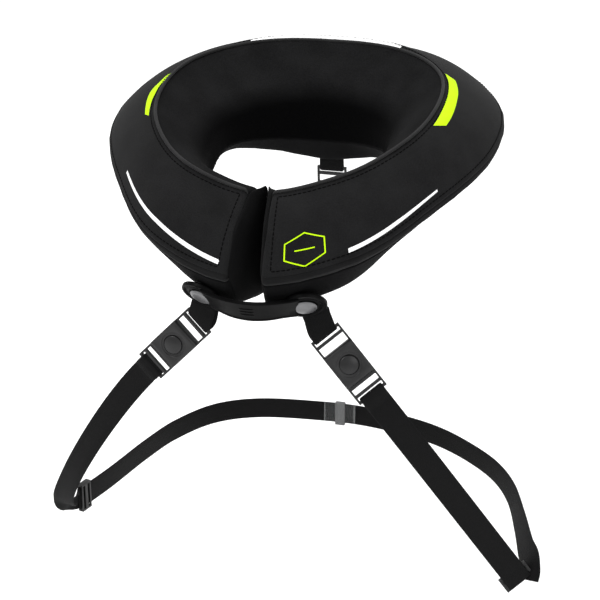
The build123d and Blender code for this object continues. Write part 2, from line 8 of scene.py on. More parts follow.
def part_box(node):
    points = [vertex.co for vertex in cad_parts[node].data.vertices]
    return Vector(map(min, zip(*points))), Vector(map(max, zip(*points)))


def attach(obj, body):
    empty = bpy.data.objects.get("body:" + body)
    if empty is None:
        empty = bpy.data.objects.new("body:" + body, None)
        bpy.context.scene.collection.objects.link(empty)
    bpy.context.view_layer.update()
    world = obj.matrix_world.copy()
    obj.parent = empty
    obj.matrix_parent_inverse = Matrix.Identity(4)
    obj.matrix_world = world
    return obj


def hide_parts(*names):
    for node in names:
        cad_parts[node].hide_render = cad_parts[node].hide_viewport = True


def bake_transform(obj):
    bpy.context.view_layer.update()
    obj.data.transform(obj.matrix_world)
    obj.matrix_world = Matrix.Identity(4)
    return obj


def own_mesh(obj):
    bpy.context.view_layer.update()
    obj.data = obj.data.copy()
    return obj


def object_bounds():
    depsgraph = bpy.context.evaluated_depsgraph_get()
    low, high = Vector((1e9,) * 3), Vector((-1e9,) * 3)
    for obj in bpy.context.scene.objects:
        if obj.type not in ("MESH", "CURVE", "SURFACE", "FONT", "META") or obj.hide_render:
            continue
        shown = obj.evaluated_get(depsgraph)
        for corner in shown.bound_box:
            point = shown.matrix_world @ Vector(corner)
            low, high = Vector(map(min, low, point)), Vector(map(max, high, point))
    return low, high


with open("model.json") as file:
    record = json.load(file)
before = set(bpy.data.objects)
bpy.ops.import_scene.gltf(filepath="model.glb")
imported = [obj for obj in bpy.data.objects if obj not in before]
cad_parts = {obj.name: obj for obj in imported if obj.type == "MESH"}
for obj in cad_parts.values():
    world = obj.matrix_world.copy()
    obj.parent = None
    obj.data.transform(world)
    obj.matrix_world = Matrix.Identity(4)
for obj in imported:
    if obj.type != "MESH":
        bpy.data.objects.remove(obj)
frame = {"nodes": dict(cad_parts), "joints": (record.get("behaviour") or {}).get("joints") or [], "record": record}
cad_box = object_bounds()

# Split-front foam neck protector with a webbing chest harness.
# Lengths below are millimetres unless a name says otherwise. "turn" is the angle round the collar in
# degrees: 0 at the front split, 90 at the left side, 180 at the back, 270 at the right side.
MM = 0.001

# ---- The collar's corner lines, at stations every 30 degrees from the front to the back ----
RIM = ((102, 109, 108, 108, 113, 115, 110), (-10, 3, 20, 35, 46, 52, 54))
EDGE = ((147, 145, 140, 152, 164, 162, 146), (-58, -45, -20, 2, 19, 34, 26))
THROAT = ((76, 76, 73, 71, 74, 78, 80), (-24, -16, -8, 5, 10, 14, 16))
TUBE = ((78, 76, 70, 66, 72, 77, 78), (-62, -58, -42, -24, -18, -20, -22))
BASE_OUT = ((128, 118, 100, 90, 96, 112, 122), (-84, -78, -56, -32, -22, -26, -36))
BASE_IN = ((98, 94, 84, 76, 82, 94, 98), (-90, -84, -62, -38, -28, -36, -46))

SPLIT_TURN = 5.0            # half of the front gap
BACK_TURN = 120.0           # where the side pieces meet the back piece
CROWN = 5.0                 # swell of the outer panel
BINDING_DROP = (4.05, 8.1)  # from the flange's edge in and down to the binding's lower seam
SEAM_ROLL = 1.7             # radius of the cloth where it rolls into a seam
FRONT_ROLL = 3.6            # radius of the padded front edges
FRONT_FULL = 10.0           # how much higher the padded throat stands at the front
FRONT_SAG = 4.0             # how far the underside's pad hangs down at the front
PIPING_RADIUS = 1.35
FINE_COLUMNS = 6            # columns of a strip drawn together at each front edge
FINE_SPAN = 2.4             # degrees that they take
THROAT_SHADE_FADE = 0.016         # metres over which the lining's painted shade deepens into the throat
REAR_SHOULDER = 5.0         # how far the panel's top stands up behind the rim at the back
REAR_SPREAD = 60.0          # degrees each side of the back over which it does
BLEND_REACH = 0.055         # metres each side of the middle, listed in the back's blend ends
BACK_BLEND = ("collar_left", "collar_right", (-BLEND_REACH, 0.14, 0), (BLEND_REACH, 0.14, 0))
BACK_SLOPE = 1.7320508      # tangent of the 60 degrees each side of the back that the back piece takes

STUD_TURN = 17.5
STUD_SHARE = 0.05
CAP_RADIUS = 8.5
BAND_END = 0.86             # share of the way to the snaps at which the band ends
SEAT_RADIUS = 2.6            # hole under a cap
EYELET_RADIUS = 16.0
BRIDGE_THICK = 3.0
BRIDGE_WIDTH = 15.0
BRIDGE_RISE = 4.5           # how far the soft band's upper edge stands above its stiff middle
BRIDGE_REACH = 8.0
BRIDGE_LAYER = 3.2
CAP_LAYER = 6.3

WEB_WIDTH = 20.0
WEB_THICK = 1.4
CLEAR_WIDTH = 30.0
CLEAR_THICK = 1.2
CLEAR_GIRTH = 0.0615        # metres round the translucent strap
CLEAR_GLINT_EDGE = 0.0013         # width of its edges that are made more opaque as painted edge reflection
BUCKLE_HOUSING = 29.0
BUCKLE_FRAME = 14.5
BUCKLE_THICK = 9.0
BUCKLE_LENGTH = BUCKLE_HOUSING + 2 * BUCKLE_FRAME + 0.3
BAR = 2.2                   # width of the bars that the webbing turns round
BUTTON_DEEP = 2.9            # how far a button reaches into its housing
BUTTON_PROUD = 0.8          # and how far it stands out
LOW_BAR = BUCKLE_LENGTH - BAR / 2
WRAP_RADIUS = 2.35          # height of the webbing where it turns round a bar
BUTTON_RADIUS = 7.2

SIDES = (("left", -1), ("right", 1))


# ---- Small helpers ----
def mode(kind):
    """Switches between edit and object mode."""
    bpy.ops.object.mode_set(mode=kind)


def deselect():
    """Nothing selected, in object mode."""
    if bpy.context.object and bpy.context.object.mode != "OBJECT":
        mode("OBJECT")
    bpy.ops.object.select_all(action="DESELECT")


def pick(piece):
    """Only this piece selected and active."""
    deselect()
    piece.select_set(True)
    bpy.context.view_layer.objects.active = piece


def edit_all(piece, *steps):
    """Runs edit-mode operators on the whole of a piece."""
    pick(piece)
    mode("EDIT")
    bpy.ops.mesh.select_all(action="SELECT")
    for step in steps:
        step()
    mode("OBJECT")


def merge():
    """Joins vertices that lie on each other."""
    bpy.ops.mesh.remove_doubles(threshold=1e-6)


def outward():
    """Turns a closed shape's faces outwards."""
    bpy.ops.mesh.normals_make_consistent(inside=False)


def close_ends(piece):
    """Fills a tube's open ends and turns its faces outwards."""
    pick(piece)
    mode("EDIT")
    bpy.ops.mesh.select_mode(type="VERT")
    bpy.ops.mesh.select_all(action="DESELECT")
    bpy.ops.mesh.select_non_manifold()
    bpy.ops.mesh.fill_holes(sides=0)
    bpy.ops.mesh.select_all(action="SELECT")
    outward()
    mode("OBJECT")


def smooth_shade(piece, angle=None):
    """Smooth shading, with sharp edges past an angle in degrees."""
    pick(piece)
    if angle is None:
        bpy.ops.object.shade_smooth()
    else:
        bpy.ops.object.shade_smooth_by_angle(angle=radians(angle))


def finish_with(piece, kind, **values):
    """Adds one modifier, sets its values and applies it."""
    pick(piece)
    modifier = piece.modifiers.new(kind.lower(), kind)
    for key, value in values.items():
        setattr(modifier, key, value)
    bpy.ops.object.modifier_apply(modifier=modifier.name)


def named(piece, name):
    """Names a new piece and its mesh."""
    piece.name = name
    piece.data.name = name
    return piece


def grid_piece(name, columns, rows, place, size=(1, 1), flip=False):
    """A grid whose points are placed by a function of two shares; size is its cloth size in metres."""
    deselect()
    bpy.ops.mesh.primitive_grid_add(x_subdivisions=columns, y_subdivisions=rows, size=1, calc_uvs=True)
    piece = named(bpy.context.object, name)
    shares = [(vertex.co.x + 0.5, vertex.co.y + 0.5) for vertex in piece.data.vertices]
    uv = piece.data.uv_layers.active.data
    for loop in piece.data.loops:
        u, v = shares[loop.vertex_index]
        uv[loop.index].uv = (u * size[0], v * size[1])
    for vertex, (u, v) in zip(piece.data.vertices, shares):
        vertex.co = place(u, v)
    steps = [merge]
    if flip:
        steps.append(bpy.ops.mesh.flip_normals)
    edit_all(piece, *steps)
    smooth_shade(piece)
    return piece


def joined(name, pieces):
    """Several pieces made one."""
    deselect()
    for piece in pieces:
        piece.select_set(True)
    bpy.context.view_layer.objects.active = pieces[0]
    if len(pieces) > 1:
        bpy.ops.object.join()
    return named(bpy.context.object, name)


def lathe(name, profile, place, axis, steps=48):
    """A profile of (radius, height) points spun round an axis that starts at a place."""
    spin = Vector((0, 0, 1)).rotation_difference(axis).to_matrix()

    def point(u, v):
        radius, height = profile[round(v * (len(profile) - 1))]
        turn = 2 * pi * u
        return place + spin @ Vector((radius * cos(turn), radius * sin(turn), height)) * MM

    piece = grid_piece(name, steps, len(profile) - 1, point)
    edit_all(piece, outward)
    smooth_shade(piece, 40)
    return piece


def axes(origin, x_way, z_way):
    """A matrix with its own origin, X and Z directions."""
    z = z_way.normalized()
    x = (x_way - z * x_way.dot(z)).normalized()
    turn = Matrix((x, z.cross(x), z)).transposed().to_4x4()
    return Matrix.Translation(origin) @ turn


def placed(name, data):
    """A new object in the scene that holds this data."""
    made = bpy.data.objects.new(name, data)
    bpy.context.scene.collection.objects.link(made)
    return made


def dressed(piece, material, nodes, body=None, ends=None):
    """Gives a piece its material and slot, hides the CAD nodes that it stands for, and makes it ride a body; with
    ends given it only bakes its transform.
    """
    piece.data.materials.clear()
    piece.data.materials.append(MATERIAL[material])
    if nodes:
        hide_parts(*nodes)
    if ends:
        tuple(ends[2])
        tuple(ends[3])
        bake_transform(piece)
    elif body:
        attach(piece, body)
    return piece


def ease(t):
    """A share from 0 to 1 with a level start and end."""
    return t * t * (3 - 2 * t)


def curve(a, b, c, d, t):
    """A value between b and c on a smooth curve through all four."""
    return b + t / 2 * (c - a + t * (2 * a - 5 * b + 4 * c - d + t * (3 * (b - c) + d - a)))


# ---- Collar geometry ----
def along_stations(values, angle):
    """Value at an angle, on a curve through the stations that is level at the front and back."""
    last = len(values) - 1
    place = angle / 180 * last
    index = min(int(place), last - 1)
    t = place - index
    a, b, c = values[abs(index - 1)], values[index], values[index + 1]
    d = values[index + 2] if index + 2 <= last else values[last - 1]
    return curve(a, b, c, d, t)


def from_front(turn):
    """Degrees between a turn and the front, either way round."""
    return min(turn, 360 - turn)


def corner(line, turn):
    """Radius and height of a corner line at a turn."""
    return Vector([along_stations(values, from_front(turn)) for values in line])


def ring_point(place, turn):
    """A point in metres from a radius and height at a turn."""
    return Vector((-place[0] * sin(radians(turn)), -place[0] * cos(radians(turn)), place[1])) * MM


def rounded(points, reaches, steps=10):
    """An open line with its inner corners rounded."""
    path = [points[0]]
    for before, here, after, reach in zip(points, points[1:], points[2:], reaches):
        back = before - here
        ahead = after - here
        reach = min(reach, back.length * 0.48, ahead.length * 0.48)
        start = here + back.normalized() * reach
        end = here + ahead.normalized() * reach
        for k in range(steps + 1):
            t = k / steps
            path.append(start * (1 - t) ** 2 + here * 2 * t * (1 - t) + end * t * t)
    path.append(points[-1])
    return path


def rear_share(turn):
    """1 at the back, falling evenly to 0 at the ends of the rear spread."""
    return max(1 - (180 - from_front(turn)) / REAR_SPREAD, 0)


def panel_line(turn):
    """The outer panel's section, from the flange's edge up to the rim."""
    edge, rim = corner(EDGE, turn), corner(RIM, turn)
    run = rim - edge
    out = Vector((run.y, -run.x)).normalized()
    shoulder = REAR_SHOULDER * ease(rear_share(turn))
    line = []
    for k in range(25):
        t = k / 24
        lift = shoulder * (ease(min(max((t - 0.66) / 0.26, 0), 1)) if t < 0.93 else (1 - t) / 0.07)
        line.append(edge + run * t + out * 4 * CROWN * t * (1 - t) + Vector((0, lift)))
    return line


def front_share(turn, spread):
    """1 at the front, falling smoothly to 0 at a number of degrees each side of it."""
    return ease(max(1 - from_front(turn) / spread, 0))


def front_sag(turn):
    """How far the underside's pad hangs down at a turn."""
    return Vector((0, -FRONT_SAG * front_share(turn, 28)))


def throat_corner(turn):
    """The throat's corner, with the pad's fullness at the front."""
    return corner(THROAT, turn) + Vector((0, FRONT_FULL * front_share(turn, 95)))


def lining_line(turn):
    """The funnel's section, from the rim down through the throat to the end of the tube."""
    reach = 26 - 14 * front_share(turn, 95)
    return rounded([corner(RIM, turn), throat_corner(turn), corner(TUBE, turn)], [reach])


def base_line(turn):
    """The underside's section, from the tube out to the binding."""
    low = corner(EDGE, turn) - Vector(BINDING_DROP)
    inner, outer = (corner(line, turn) + front_sag(turn) for line in (BASE_IN, BASE_OUT))
    return rounded([corner(TUBE, turn), inner, outer, low], [7, 6])


def binding_line(turn):
    """The binding's section round the flange's edge."""
    edge = corner(EDGE, turn)
    low = edge - Vector(BINDING_DROP)
    return [low, low + (edge - low) / 2 + Vector((1.0, -0.6)), edge]


LINES = {"panel": panel_line, "lining": lining_line, "base": base_line, "binding": binding_line}


def walk(path, distance):
    """Point and outward direction at a distance along a section line."""
    for first, second in zip(path, path[1:]):
        step = second - first
        if distance <= step.length or second is path[-1]:
            way = step.normalized()
            return first + way * distance, Vector((way.y, -way.x))
        distance -= step.length


def length_of(path):
    """Length of a line of points."""
    return sum((b - a).length for a, b in zip(path, path[1:]))


def roll(distance, radius):
    """How far cloth has sunk at a distance from a seam that it rolls into."""
    if distance >= radius:
        return 0.0
    return sqrt(max(radius ** 2 - (radius - distance) ** 2, 0)) - radius


def across_share(v, edge):
    """A share across a strip, with its points drawn together near both seams."""
    if v < 0.2:
        return edge * (v / 0.2) ** 2
    if v > 0.8:
        return 1 - edge * ((1 - v) / 0.2) ** 2
    return edge + (1 - 2 * edge) * (v - 0.2) / 0.6


def cloth_point(kind, turn, share, lift=0.0):
    """A point on one of the collar's cloth strips, at a share across it."""
    path = LINES[kind](turn)
    length = length_of(path)
    distance = share * length
    place, out = walk(path, distance)
    seam = min(distance, length - distance)
    front = (from_front(turn) - SPLIT_TURN) * radians(1) * place.x
    sink = roll(seam, SEAM_ROLL) + roll(max(front, 0), FRONT_ROLL)
    near = max(1 - seam / 14, 0) ** 2
    pucker = 0.16 * near * sin(radians(turn) * 41) + 0.10 * near * sin(radians(turn) * 67 + 1)
    loose = 0.35 * sin(radians(turn) * 5 + share * 4) * sin(share * pi)
    return ring_point(place + out * (sink + pucker + loose + lift), turn)


def strip_turns(columns):
    """Turns round the whole collar, closer together at the front edges."""
    def turn(u):
        edge = min(u, 1 - u) * columns
        if edge < FINE_COLUMNS:
            start = (edge / FINE_COLUMNS) ** 2 * FINE_SPAN
        else:
            rest = 180 - SPLIT_TURN - FINE_SPAN
            start = FINE_SPAN + (edge - FINE_COLUMNS) * (rest / (columns / 2 - FINE_COLUMNS))
        return SPLIT_TURN + start if u <= 0.5 else 360 - SPLIT_TURN - start
    return turn


def three_parts(whole, name, material, nodes):
    """Cuts a strip round the whole collar into left, back and right pieces with one smooth surface."""
    for part in ("left", "back", "right"):
        pick(whole)
        bpy.ops.object.duplicate()
        piece = named(bpy.context.object, f"{name}_{part}")
        unwanted = []
        for face in piece.data.polygons:
            x, y, _ = face.center
            here = "back" if y > 0 and abs(x) < y * BACK_SLOPE else "left" if x < 0 else "right"
            unwanted.append(here != part)
        mode("EDIT")
        bpy.ops.mesh.select_mode(type="FACE")
        bpy.ops.mesh.select_all(action="DESELECT")
        mode("OBJECT")
        piece.data.polygons.foreach_set("select", unwanted)
        mode("EDIT")
        bpy.ops.mesh.delete(type="FACE")
        mode("OBJECT")
        finish_with(piece, "DATA_TRANSFER", object=whole, use_loop_data=True,
                    data_types_loops={"CUSTOM_NORMAL"}, loop_mapping="NEAREST_POLYNOR")
        sides = ("left", "right") if part == "back" else (part,)
        dressed(piece, material, [f"{node}_{side}" for node in nodes for side in sides],
                f"collar_{part}", BACK_BLEND if part == "back" else None)
    bpy.data.objects.remove(whole, do_unlink=True)


def mark_throat_shade(piece):
    """Stores how far below the throat each point lies, for the painted shade that darkens the lining inside the
    tube.
    """
    depth = piece.data.attributes.new("throat_painted_shade", "FLOAT", "POINT")
    for i, vertex in enumerate(piece.data.vertices):
        x, y, z = vertex.co
        throat = throat_corner(degrees(atan2(-x, -y)) % 360)
        # Share of painted shade here: 0.6 at the throat line, reaching full shade a little below it
        depth.data[i].value = min(max((throat.y * MM - z) / THROAT_SHADE_FADE + 0.6, 0), 1)
    return piece


def make_strip(kind, rows, edge, columns=180):
    """One cloth strip round the whole collar."""
    turn_at = strip_turns(columns)
    width = length_of(LINES[kind](90)) * MM

    def place(u, v):
        return cloth_point(kind, turn_at(u), across_share(v, edge))

    return grid_piece(kind, columns, rows, place, size=(0.78, width), flip=True)


def make_collar():
    """Panels, lining, underside, binding and piping."""
    three_parts(make_strip("panel", 30, 0.05), "outer_cover", "cover",
                ["outer_panel", "foam_core"])
    # The lining gets painted shade inside the tube below the throat
    three_parts(mark_throat_shade(make_strip("lining", 40, 0.03)), "funnel_pad", "lining",
                ["funnel_lining"])
    three_parts(make_strip("base", 40, 0.04), "underside_pad", "cover_dark",
                ["base_cover"])
    three_parts(make_strip("binding", 12, 0.3), "flange_binding", "binding",
                ["edge_binding"])
    three_parts(make_piping(), "rim_cord", "piping", ["rim_piping"])
    for side_name, side in SIDES:
        make_end_pad(side_name, side)


def make_piping():
    """The covered cord sewn into the rim seam."""
    turn_at = strip_turns(180)

    def place(u, v):
        turn = turn_at(u)
        front = (from_front(turn) - SPLIT_TURN) * radians(1) * RIM[0][0]
        radius = PIPING_RADIUS * sqrt(max(1 - max(1 - front / 3, 0) ** 2, 0.02))
        rise = 0.9 - 1.2 * rear_share(turn) + roll(max(front, 0), FRONT_ROLL)
        middle = corner(RIM, turn) + Vector((0.2, rise))
        angle = 2 * pi * v
        return ring_point(middle + Vector((cos(angle), sin(angle))) * radius, turn)

    piece = grid_piece("rim_cord", 180, 14, place, size=(0.7, 0.011))
    edit_all(piece, outward)
    return piece


def closed_section(turn, sunk):
    """The collar's whole section at a turn, drawn in towards its middle by a distance."""
    rim, edge = corner(RIM, turn), corner(EDGE, turn)
    run = rim - edge
    crown = edge + run / 2 + Vector((run.y, -run.x)).normalized() * CROWN * 1.6
    sag = front_sag(turn)
    corners = [rim, throat_corner(turn), corner(TUBE, turn), corner(BASE_IN, turn) + sag,
               corner(BASE_OUT, turn) + sag, edge - Vector(BINDING_DROP), edge, crown]
    middle = (corners[0] + corners[-1]) / 2
    path = rounded([middle] + corners + [middle], [4, 12, 7, 7, 6, 3, 3, 30], steps=7)[:-1]
    low = Vector((min(p.x for p in path), min(p.y for p in path)))
    high = Vector((max(p.x for p in path), max(p.y for p in path)))
    centre, half = (low + high) / 2, (high - low) / 2
    scale = Vector((1 - sunk / half.x, 1 - sunk / half.y))
    return [centre + (p - centre) * scale for p in path]


def make_end_pad(side_name, side):
    """The padded wedge that closes the split towards the neck."""
    root_turn = SPLIT_TURN if side < 0 else 360 - SPLIT_TURN
    under_turn = root_turn - 2.0 * side
    line = corner(THROAT, root_turn).x + 3.0
    layers = 22

    def tip(point):
        return Vector((side * 0.4, -(line + 0.15 * (point.x - line)), point.y)) * MM

    rows = [[ring_point(p, under_turn) for p in closed_section(root_turn, FRONT_ROLL + 1.0)]]
    for k in range(layers + 1):
        t = k / layers
        sunk = 0.3 + 3.0 * max(1 - t / 0.14, 0) ** 2 + 3.5 * max((t - 0.86) / 0.14, 0) ** 2
        swell = 2.0 * sin(pi * t) * MM
        row = []
        for p in closed_section(root_turn, sunk):
            here = ring_point(p, root_turn).lerp(tip(p), t)
            here.x = side * max(abs(here.x) - swell * min(abs(here.x) / 0.008, 1), 0.0004)
            row.append(here)
        rows.append(row)
    count = len(rows[0])

    def place(u, v):
        return rows[round(v * (len(rows) - 1))][round(u * count) % count]

    piece = grid_piece(f"end_pad_{side_name}", count, len(rows) - 1, place, size=(0.3, 0.09))
    close_ends(piece)
    smooth_shade(piece, 60)
    dressed(piece, "pad", [f"end_cap_{side_name}"], f"collar_{side_name}")


# ---- Materials ----
def feed(tree, socket, value):
    """Links an input to another socket, or gives it a plain value."""
    if isinstance(value, bpy.types.NodeSocket):
        tree.links.new(value, socket)
    else:
        socket.default_value = value


def add_node(tree, kind, **inputs):
    """A shader node with its named inputs fed."""
    node = tree.nodes.new(f"ShaderNode{kind}")
    for key, value in inputs.items():
        feed(tree, node.inputs[key], value)
    return node


def new_material(name, roughness, **sockets):
    """A material, its nodes and its Principled shader, with values set on the shader's own sockets."""
    material = bpy.data.materials.new(name)
    material.use_nodes = True
    shader = material.node_tree.nodes["Principled BSDF"]
    shader.inputs["Roughness"].default_value = roughness
    for key, value in sockets.items():
        shader.inputs[key.replace("_", " ")].default_value = value
    return material, material.node_tree, shader


def new_group(name, floats, outputs):
    """A shader node group with a vector input, float inputs with their usual values, and float outputs."""
    group = bpy.data.node_groups.new(name, "ShaderNodeTree")
    add_socket = group.interface.new_socket
    add_socket("Vector", in_out="INPUT", socket_type="NodeSocketVector")
    for label, value in floats.items():
        add_socket(label, in_out="INPUT", socket_type="NodeSocketFloat").default_value = value
    for label in outputs:
        add_socket(label, in_out="OUTPUT", socket_type="NodeSocketFloat")
    return group, group.nodes.new("NodeGroupInput").outputs, group.nodes.new("NodeGroupOutput").inputs


def wire_math(tree, operation, *values):
    """A math node's result; its inputs are sockets or plain numbers."""
    node = add_node(tree, "Math")
    node.operation = operation
    for socket, value in zip(node.inputs, values):
        feed(tree, socket, value)
    return node.outputs[0]


def grain_group():
    """Fine fibre grain and broad soft shading from object coordinates."""
    group, source, sink = new_group("fibre_grain", {"Fine": 1500.0, "Broad": 45.0},
                                    ["Fine", "Broad", "Height"])
    for label, detail in (("Broad", 4.0), ("Fine", 3.0)):
        noise = add_node(group, "TexNoise", Vector=source["Vector"], Scale=source[label], Detail=detail)
        feed(group, sink[label], noise.outputs["Fac"])
    cells = add_node(group, "TexVoronoi", Vector=source["Vector"], Scale=source["Fine"])
    height = wire_math(group, "MULTIPLY_ADD", cells.outputs["Distance"], -0.6, noise.outputs["Fac"])
    feed(group, sink["Height"], height)
    return group


def weave_group():
    """Interlaced ribs of woven tape from a UV map in metres: U along the tape and V across it."""
    group, source, sink = new_group("tape_weave", {"Along": 1150.0, "Across": 900.0}, ["Height", "Thread"])
    split = add_node(group, "SeparateXYZ", Vector=source["Vector"]).outputs
    along = wire_math(group, "MULTIPLY", split["X"], source["Along"])
    across = wire_math(group, "MULTIPLY", split["Y"], source["Across"])
    offset = wire_math(group, "MULTIPLY_ADD", wire_math(group, "FLOOR", across), 0.5, along)
    rib = wire_math(group, "SINE", wire_math(group, "MULTIPLY", offset, 2 * pi))
    bead = wire_math(group, "SINE", wire_math(group, "MULTIPLY", across, 2 * pi))
    feed(group, sink["Height"], wire_math(group, "MULTIPLY_ADD", bead, 0.5, rib))
    feed(group, sink["Thread"], wire_math(group, "MULTIPLY_ADD", rib, 0.5, 0.5))
    return group


def place_group(tree, group, coordinates, **values):
    """The outputs of a group placed in a material, fed with texture coordinates and its own values."""
    node = add_node(tree, "Group")
    node.node_tree = group
    for key, value in values.items():
        node.inputs[key].default_value = value
    feed(tree, node.inputs["Vector"], add_node(tree, "TexCoord").outputs[coordinates])
    return node.outputs


def tinted(tree, shader, factor, dark, light, low=0.3, high=0.7):
    """Base colour between two tones, chosen by a factor."""
    ramp = add_node(tree, "ValToRGB", Fac=factor)
    for index, position, tone in ((0, low, dark), (1, high, light)):
        ramp.color_ramp.elements[index].position = position
        ramp.color_ramp.elements[index].color = (*tone, 1)
    feed(tree, shader.inputs["Base Color"], ramp.outputs["Color"])


def bumped(tree, shader, height, distance, strength):
    """Surface relief from a height."""
    bump = add_node(tree, "Bump", Distance=distance, Strength=strength, Height=height)
    feed(tree, shader.inputs["Normal"], bump.outputs["Normal"])


def fabric(name, dark, light, fine, sheen, roughness=0.9, relief=0.35, specular=0.14, deep=None):
    """Knitted or brushed cloth; deep is the tone of painted shade below the throat."""
    material, tree, shader = new_material(
        name, roughness, Sheen_Weight=sheen, Sheen_Roughness=0.45, Specular_IOR_Level=specular)
    grain = place_group(tree, GRAIN, "Object", Fine=fine, Broad=38.0)
    tone = wire_math(tree, "MULTIPLY_ADD", grain["Fine"], 0.6, 0.0)
    tone = wire_math(tree, "MULTIPLY_ADD", grain["Broad"], 0.4, tone)
    tinted(tree, shader, tone, dark, light, 0.38, 0.62)
    # Painted shade: below the throat the base colour is mixed towards the deep tone, standing in for the shade
    # inside the tube
    if deep:
        depth = add_node(tree, "Attribute")
        depth.attribute_name = "throat_painted_shade"
        mix = add_node(tree, "Mix")
        mix.data_type = "RGBA"
        feed(tree, mix.inputs[0], depth.outputs["Fac"])
        feed(tree, mix.inputs[6], shader.inputs["Base Color"].links[0].from_socket)
        feed(tree, mix.inputs[7], (*deep, 1))
        feed(tree, shader.inputs["Base Color"], mix.outputs[2])
    bumped(tree, shader, grain["Height"], 0.0004, relief)
    return material


def webbing(name, dark, light):
    """Woven polyester tape."""
    material, tree, shader = new_material(
        name, 0.75, Sheen_Weight=0.02, Sheen_Roughness=0.4, Specular_IOR_Level=0.12)
    weave = place_group(tree, WEAVE, "UV")
    tinted(tree, shader, weave["Thread"], dark, light, 0.1, 0.9)
    bumped(tree, shader, weave["Height"], 0.0003, 0.5)
    return material


def moulded(name, dark, light, roughness, relief=0.12, **sockets):
    """Moulded plastic or rubber with a fine spark texture and uneven gloss."""
    material, tree, shader = new_material(name, roughness, **sockets)
    grain = place_group(tree, GRAIN, "Object", Fine=2600.0, Broad=90.0)
    tinted(tree, shader, grain["Broad"], dark, light)
    gloss = wire_math(tree, "MULTIPLY_ADD", grain["Broad"], 0.16, roughness - 0.08)
    feed(tree, shader.inputs["Roughness"], gloss)
    bumped(tree, shader, grain["Height"], 0.0002, relief)
    return material


def clear_strap(name):
    """Translucent strap, almost clear on its faces and more opaque along both edges as painted edge reflection."""
    material = moulded(name, (0.44, 0.45, 0.45), (0.50, 0.51, 0.51), 0.5, 0.05, Specular_IOR_Level=0.1)
    tree = material.node_tree
    split = add_node(tree, "SeparateXYZ", Vector=add_node(tree, "TexCoord").outputs["UV"])
    across = wire_math(tree, "MODULO", split.outputs["Y"], CLEAR_GIRTH / 2)
    across = wire_math(tree, "ABSOLUTE", wire_math(tree, "SUBTRACT", across, CLEAR_GIRTH / 4))
    # Painted edge reflection: alpha is raised along both edges of the strap
    edge = wire_math(tree, "GREATER_THAN", across, CLEAR_GIRTH / 4 - CLEAR_GLINT_EDGE)
    alpha = wire_math(tree, "MULTIPLY_ADD", edge, 0.16, 0.03)
    feed(tree, tree.nodes["Principled BSDF"].inputs["Alpha"], alpha)
    return material


def grey(level, blue):
    """A grey with its own blue."""
    return level, level, blue


GRAIN = grain_group()
WEAVE = weave_group()
MATERIAL = {
    "cover": fabric("knitted_cover", grey(0.0026, 0.0028), grey(0.0082, 0.0086), 1700.0, 0.03),
    "cover_dark": fabric("underside_knit", grey(0.0015, 0.0016), grey(0.0042, 0.0045), 1700.0, 0.0,
                         specular=0.05),
    # The lining's deep tone is painted shade inside the tube below the throat
    "lining": fabric("brushed_lining_throat_shade", grey(0.006, 0.0062), grey(0.012, 0.0124), 1300.0, 0.01,
                     specular=0.02, deep=grey(0.0014, 0.0015)),
    "pad": fabric("end_pad_cloth", grey(0.0014, 0.0015), grey(0.0036, 0.0038), 1900.0, 0.01, specular=0.08),
    "binding": fabric("binding_tape", grey(0.002, 0.0021), grey(0.0055, 0.0058), 2200.0, 0.02),
    "piping": fabric("piped_cord", grey(0.009, 0.0093), grey(0.019, 0.0194), 2400.0, 0.05, 0.7),
    "thread": fabric("sewing_thread", grey(0.0004, 0.0004), grey(0.0012, 0.0012), 3500.0, 0.0, 0.8,
                     specular=0.04),
    "foam": fabric("foam", grey(0.02, 0.02), grey(0.04, 0.04), 900.0, 0.0),
    "webbing": webbing("woven_tape", grey(0.0006, 0.0007), grey(0.0042, 0.0044)),
    "neon": moulded("neon_film", (0.45, 0.74, 0.0), (0.49, 0.79, 0.0), 0.55, 0.08, Specular_IOR_Level=0.12),
    "white": moulded("reflective_film", grey(0.80, 0.80), grey(0.88, 0.88), 0.45, 0.1),
    "bridge": moulded("bridge_elastomer", grey(0.0014, 0.0015), grey(0.0026, 0.0027), 0.42,
                     Specular_IOR_Level=0.05),
    "buckle": moulded("buckle_acetal", grey(0.005, 0.0052), grey(0.0085, 0.0089), 0.45,
                     Specular_IOR_Level=0.36),
    "button": moulded("button_acetal", grey(0.004, 0.0042), grey(0.0075, 0.0078), 0.36,
                     Specular_IOR_Level=0.34),
    "cap": moulded("grey_cap_metal", grey(0.10, 0.103), grey(0.17, 0.174), 0.36, 0.05, Metallic=0.7),
    "steel": moulded("plain_steel", (0.50, 0.51, 0.52), (0.58, 0.59, 0.60), 0.3, 0.05, Metallic=1.0),
    # The clear strap's more opaque edges are painted edge reflection
    "clear": clear_strap("clear_urethane_edge_glint"),
    "keeper": moulded("keeper_plastic", (0.060, 0.061, 0.062), (0.078, 0.079, 0.080), 0.45, 0.05)}


# ---- Set ----
CAMERA_AZIMUTH = 15.0
CAMERA_ELEVATION = 22.0
CAMERA_DISTANCE = 1.25
CAMERA_AIM = Vector((0.002, 0.0, -0.132))
LENS = 93.75


def aimed(name, data, place, way):
    """A camera or light at a place, looking along a direction."""
    made = placed(name, data)
    made.location = place
    made.rotation_mode = "QUATERNION"
    made.rotation_quaternion = way.to_track_quat("-Z", "Y")
    return made


def make_camera():
    """A camera in front, a little to the right and above."""
    azimuth, elevation = radians(CAMERA_AZIMUTH), radians(CAMERA_ELEVATION)
    back = Vector((sin(azimuth) * cos(elevation), -cos(azimuth) * cos(elevation), sin(elevation)))
    data = bpy.data.cameras.new("camera")
    data.lens = LENS
    data.sensor_width = 36
    bpy.context.scene.camera = aimed("camera", data, CAMERA_AIM + back * CAMERA_DISTANCE, -back)


def area_light(name, place, target, size, power):
    """A soft square light aimed at a point."""
    data = bpy.data.lights.new(name, "AREA")
    data.size = size
    data.energy = power
    aimed(name, data, place, Vector(target) - Vector(place))


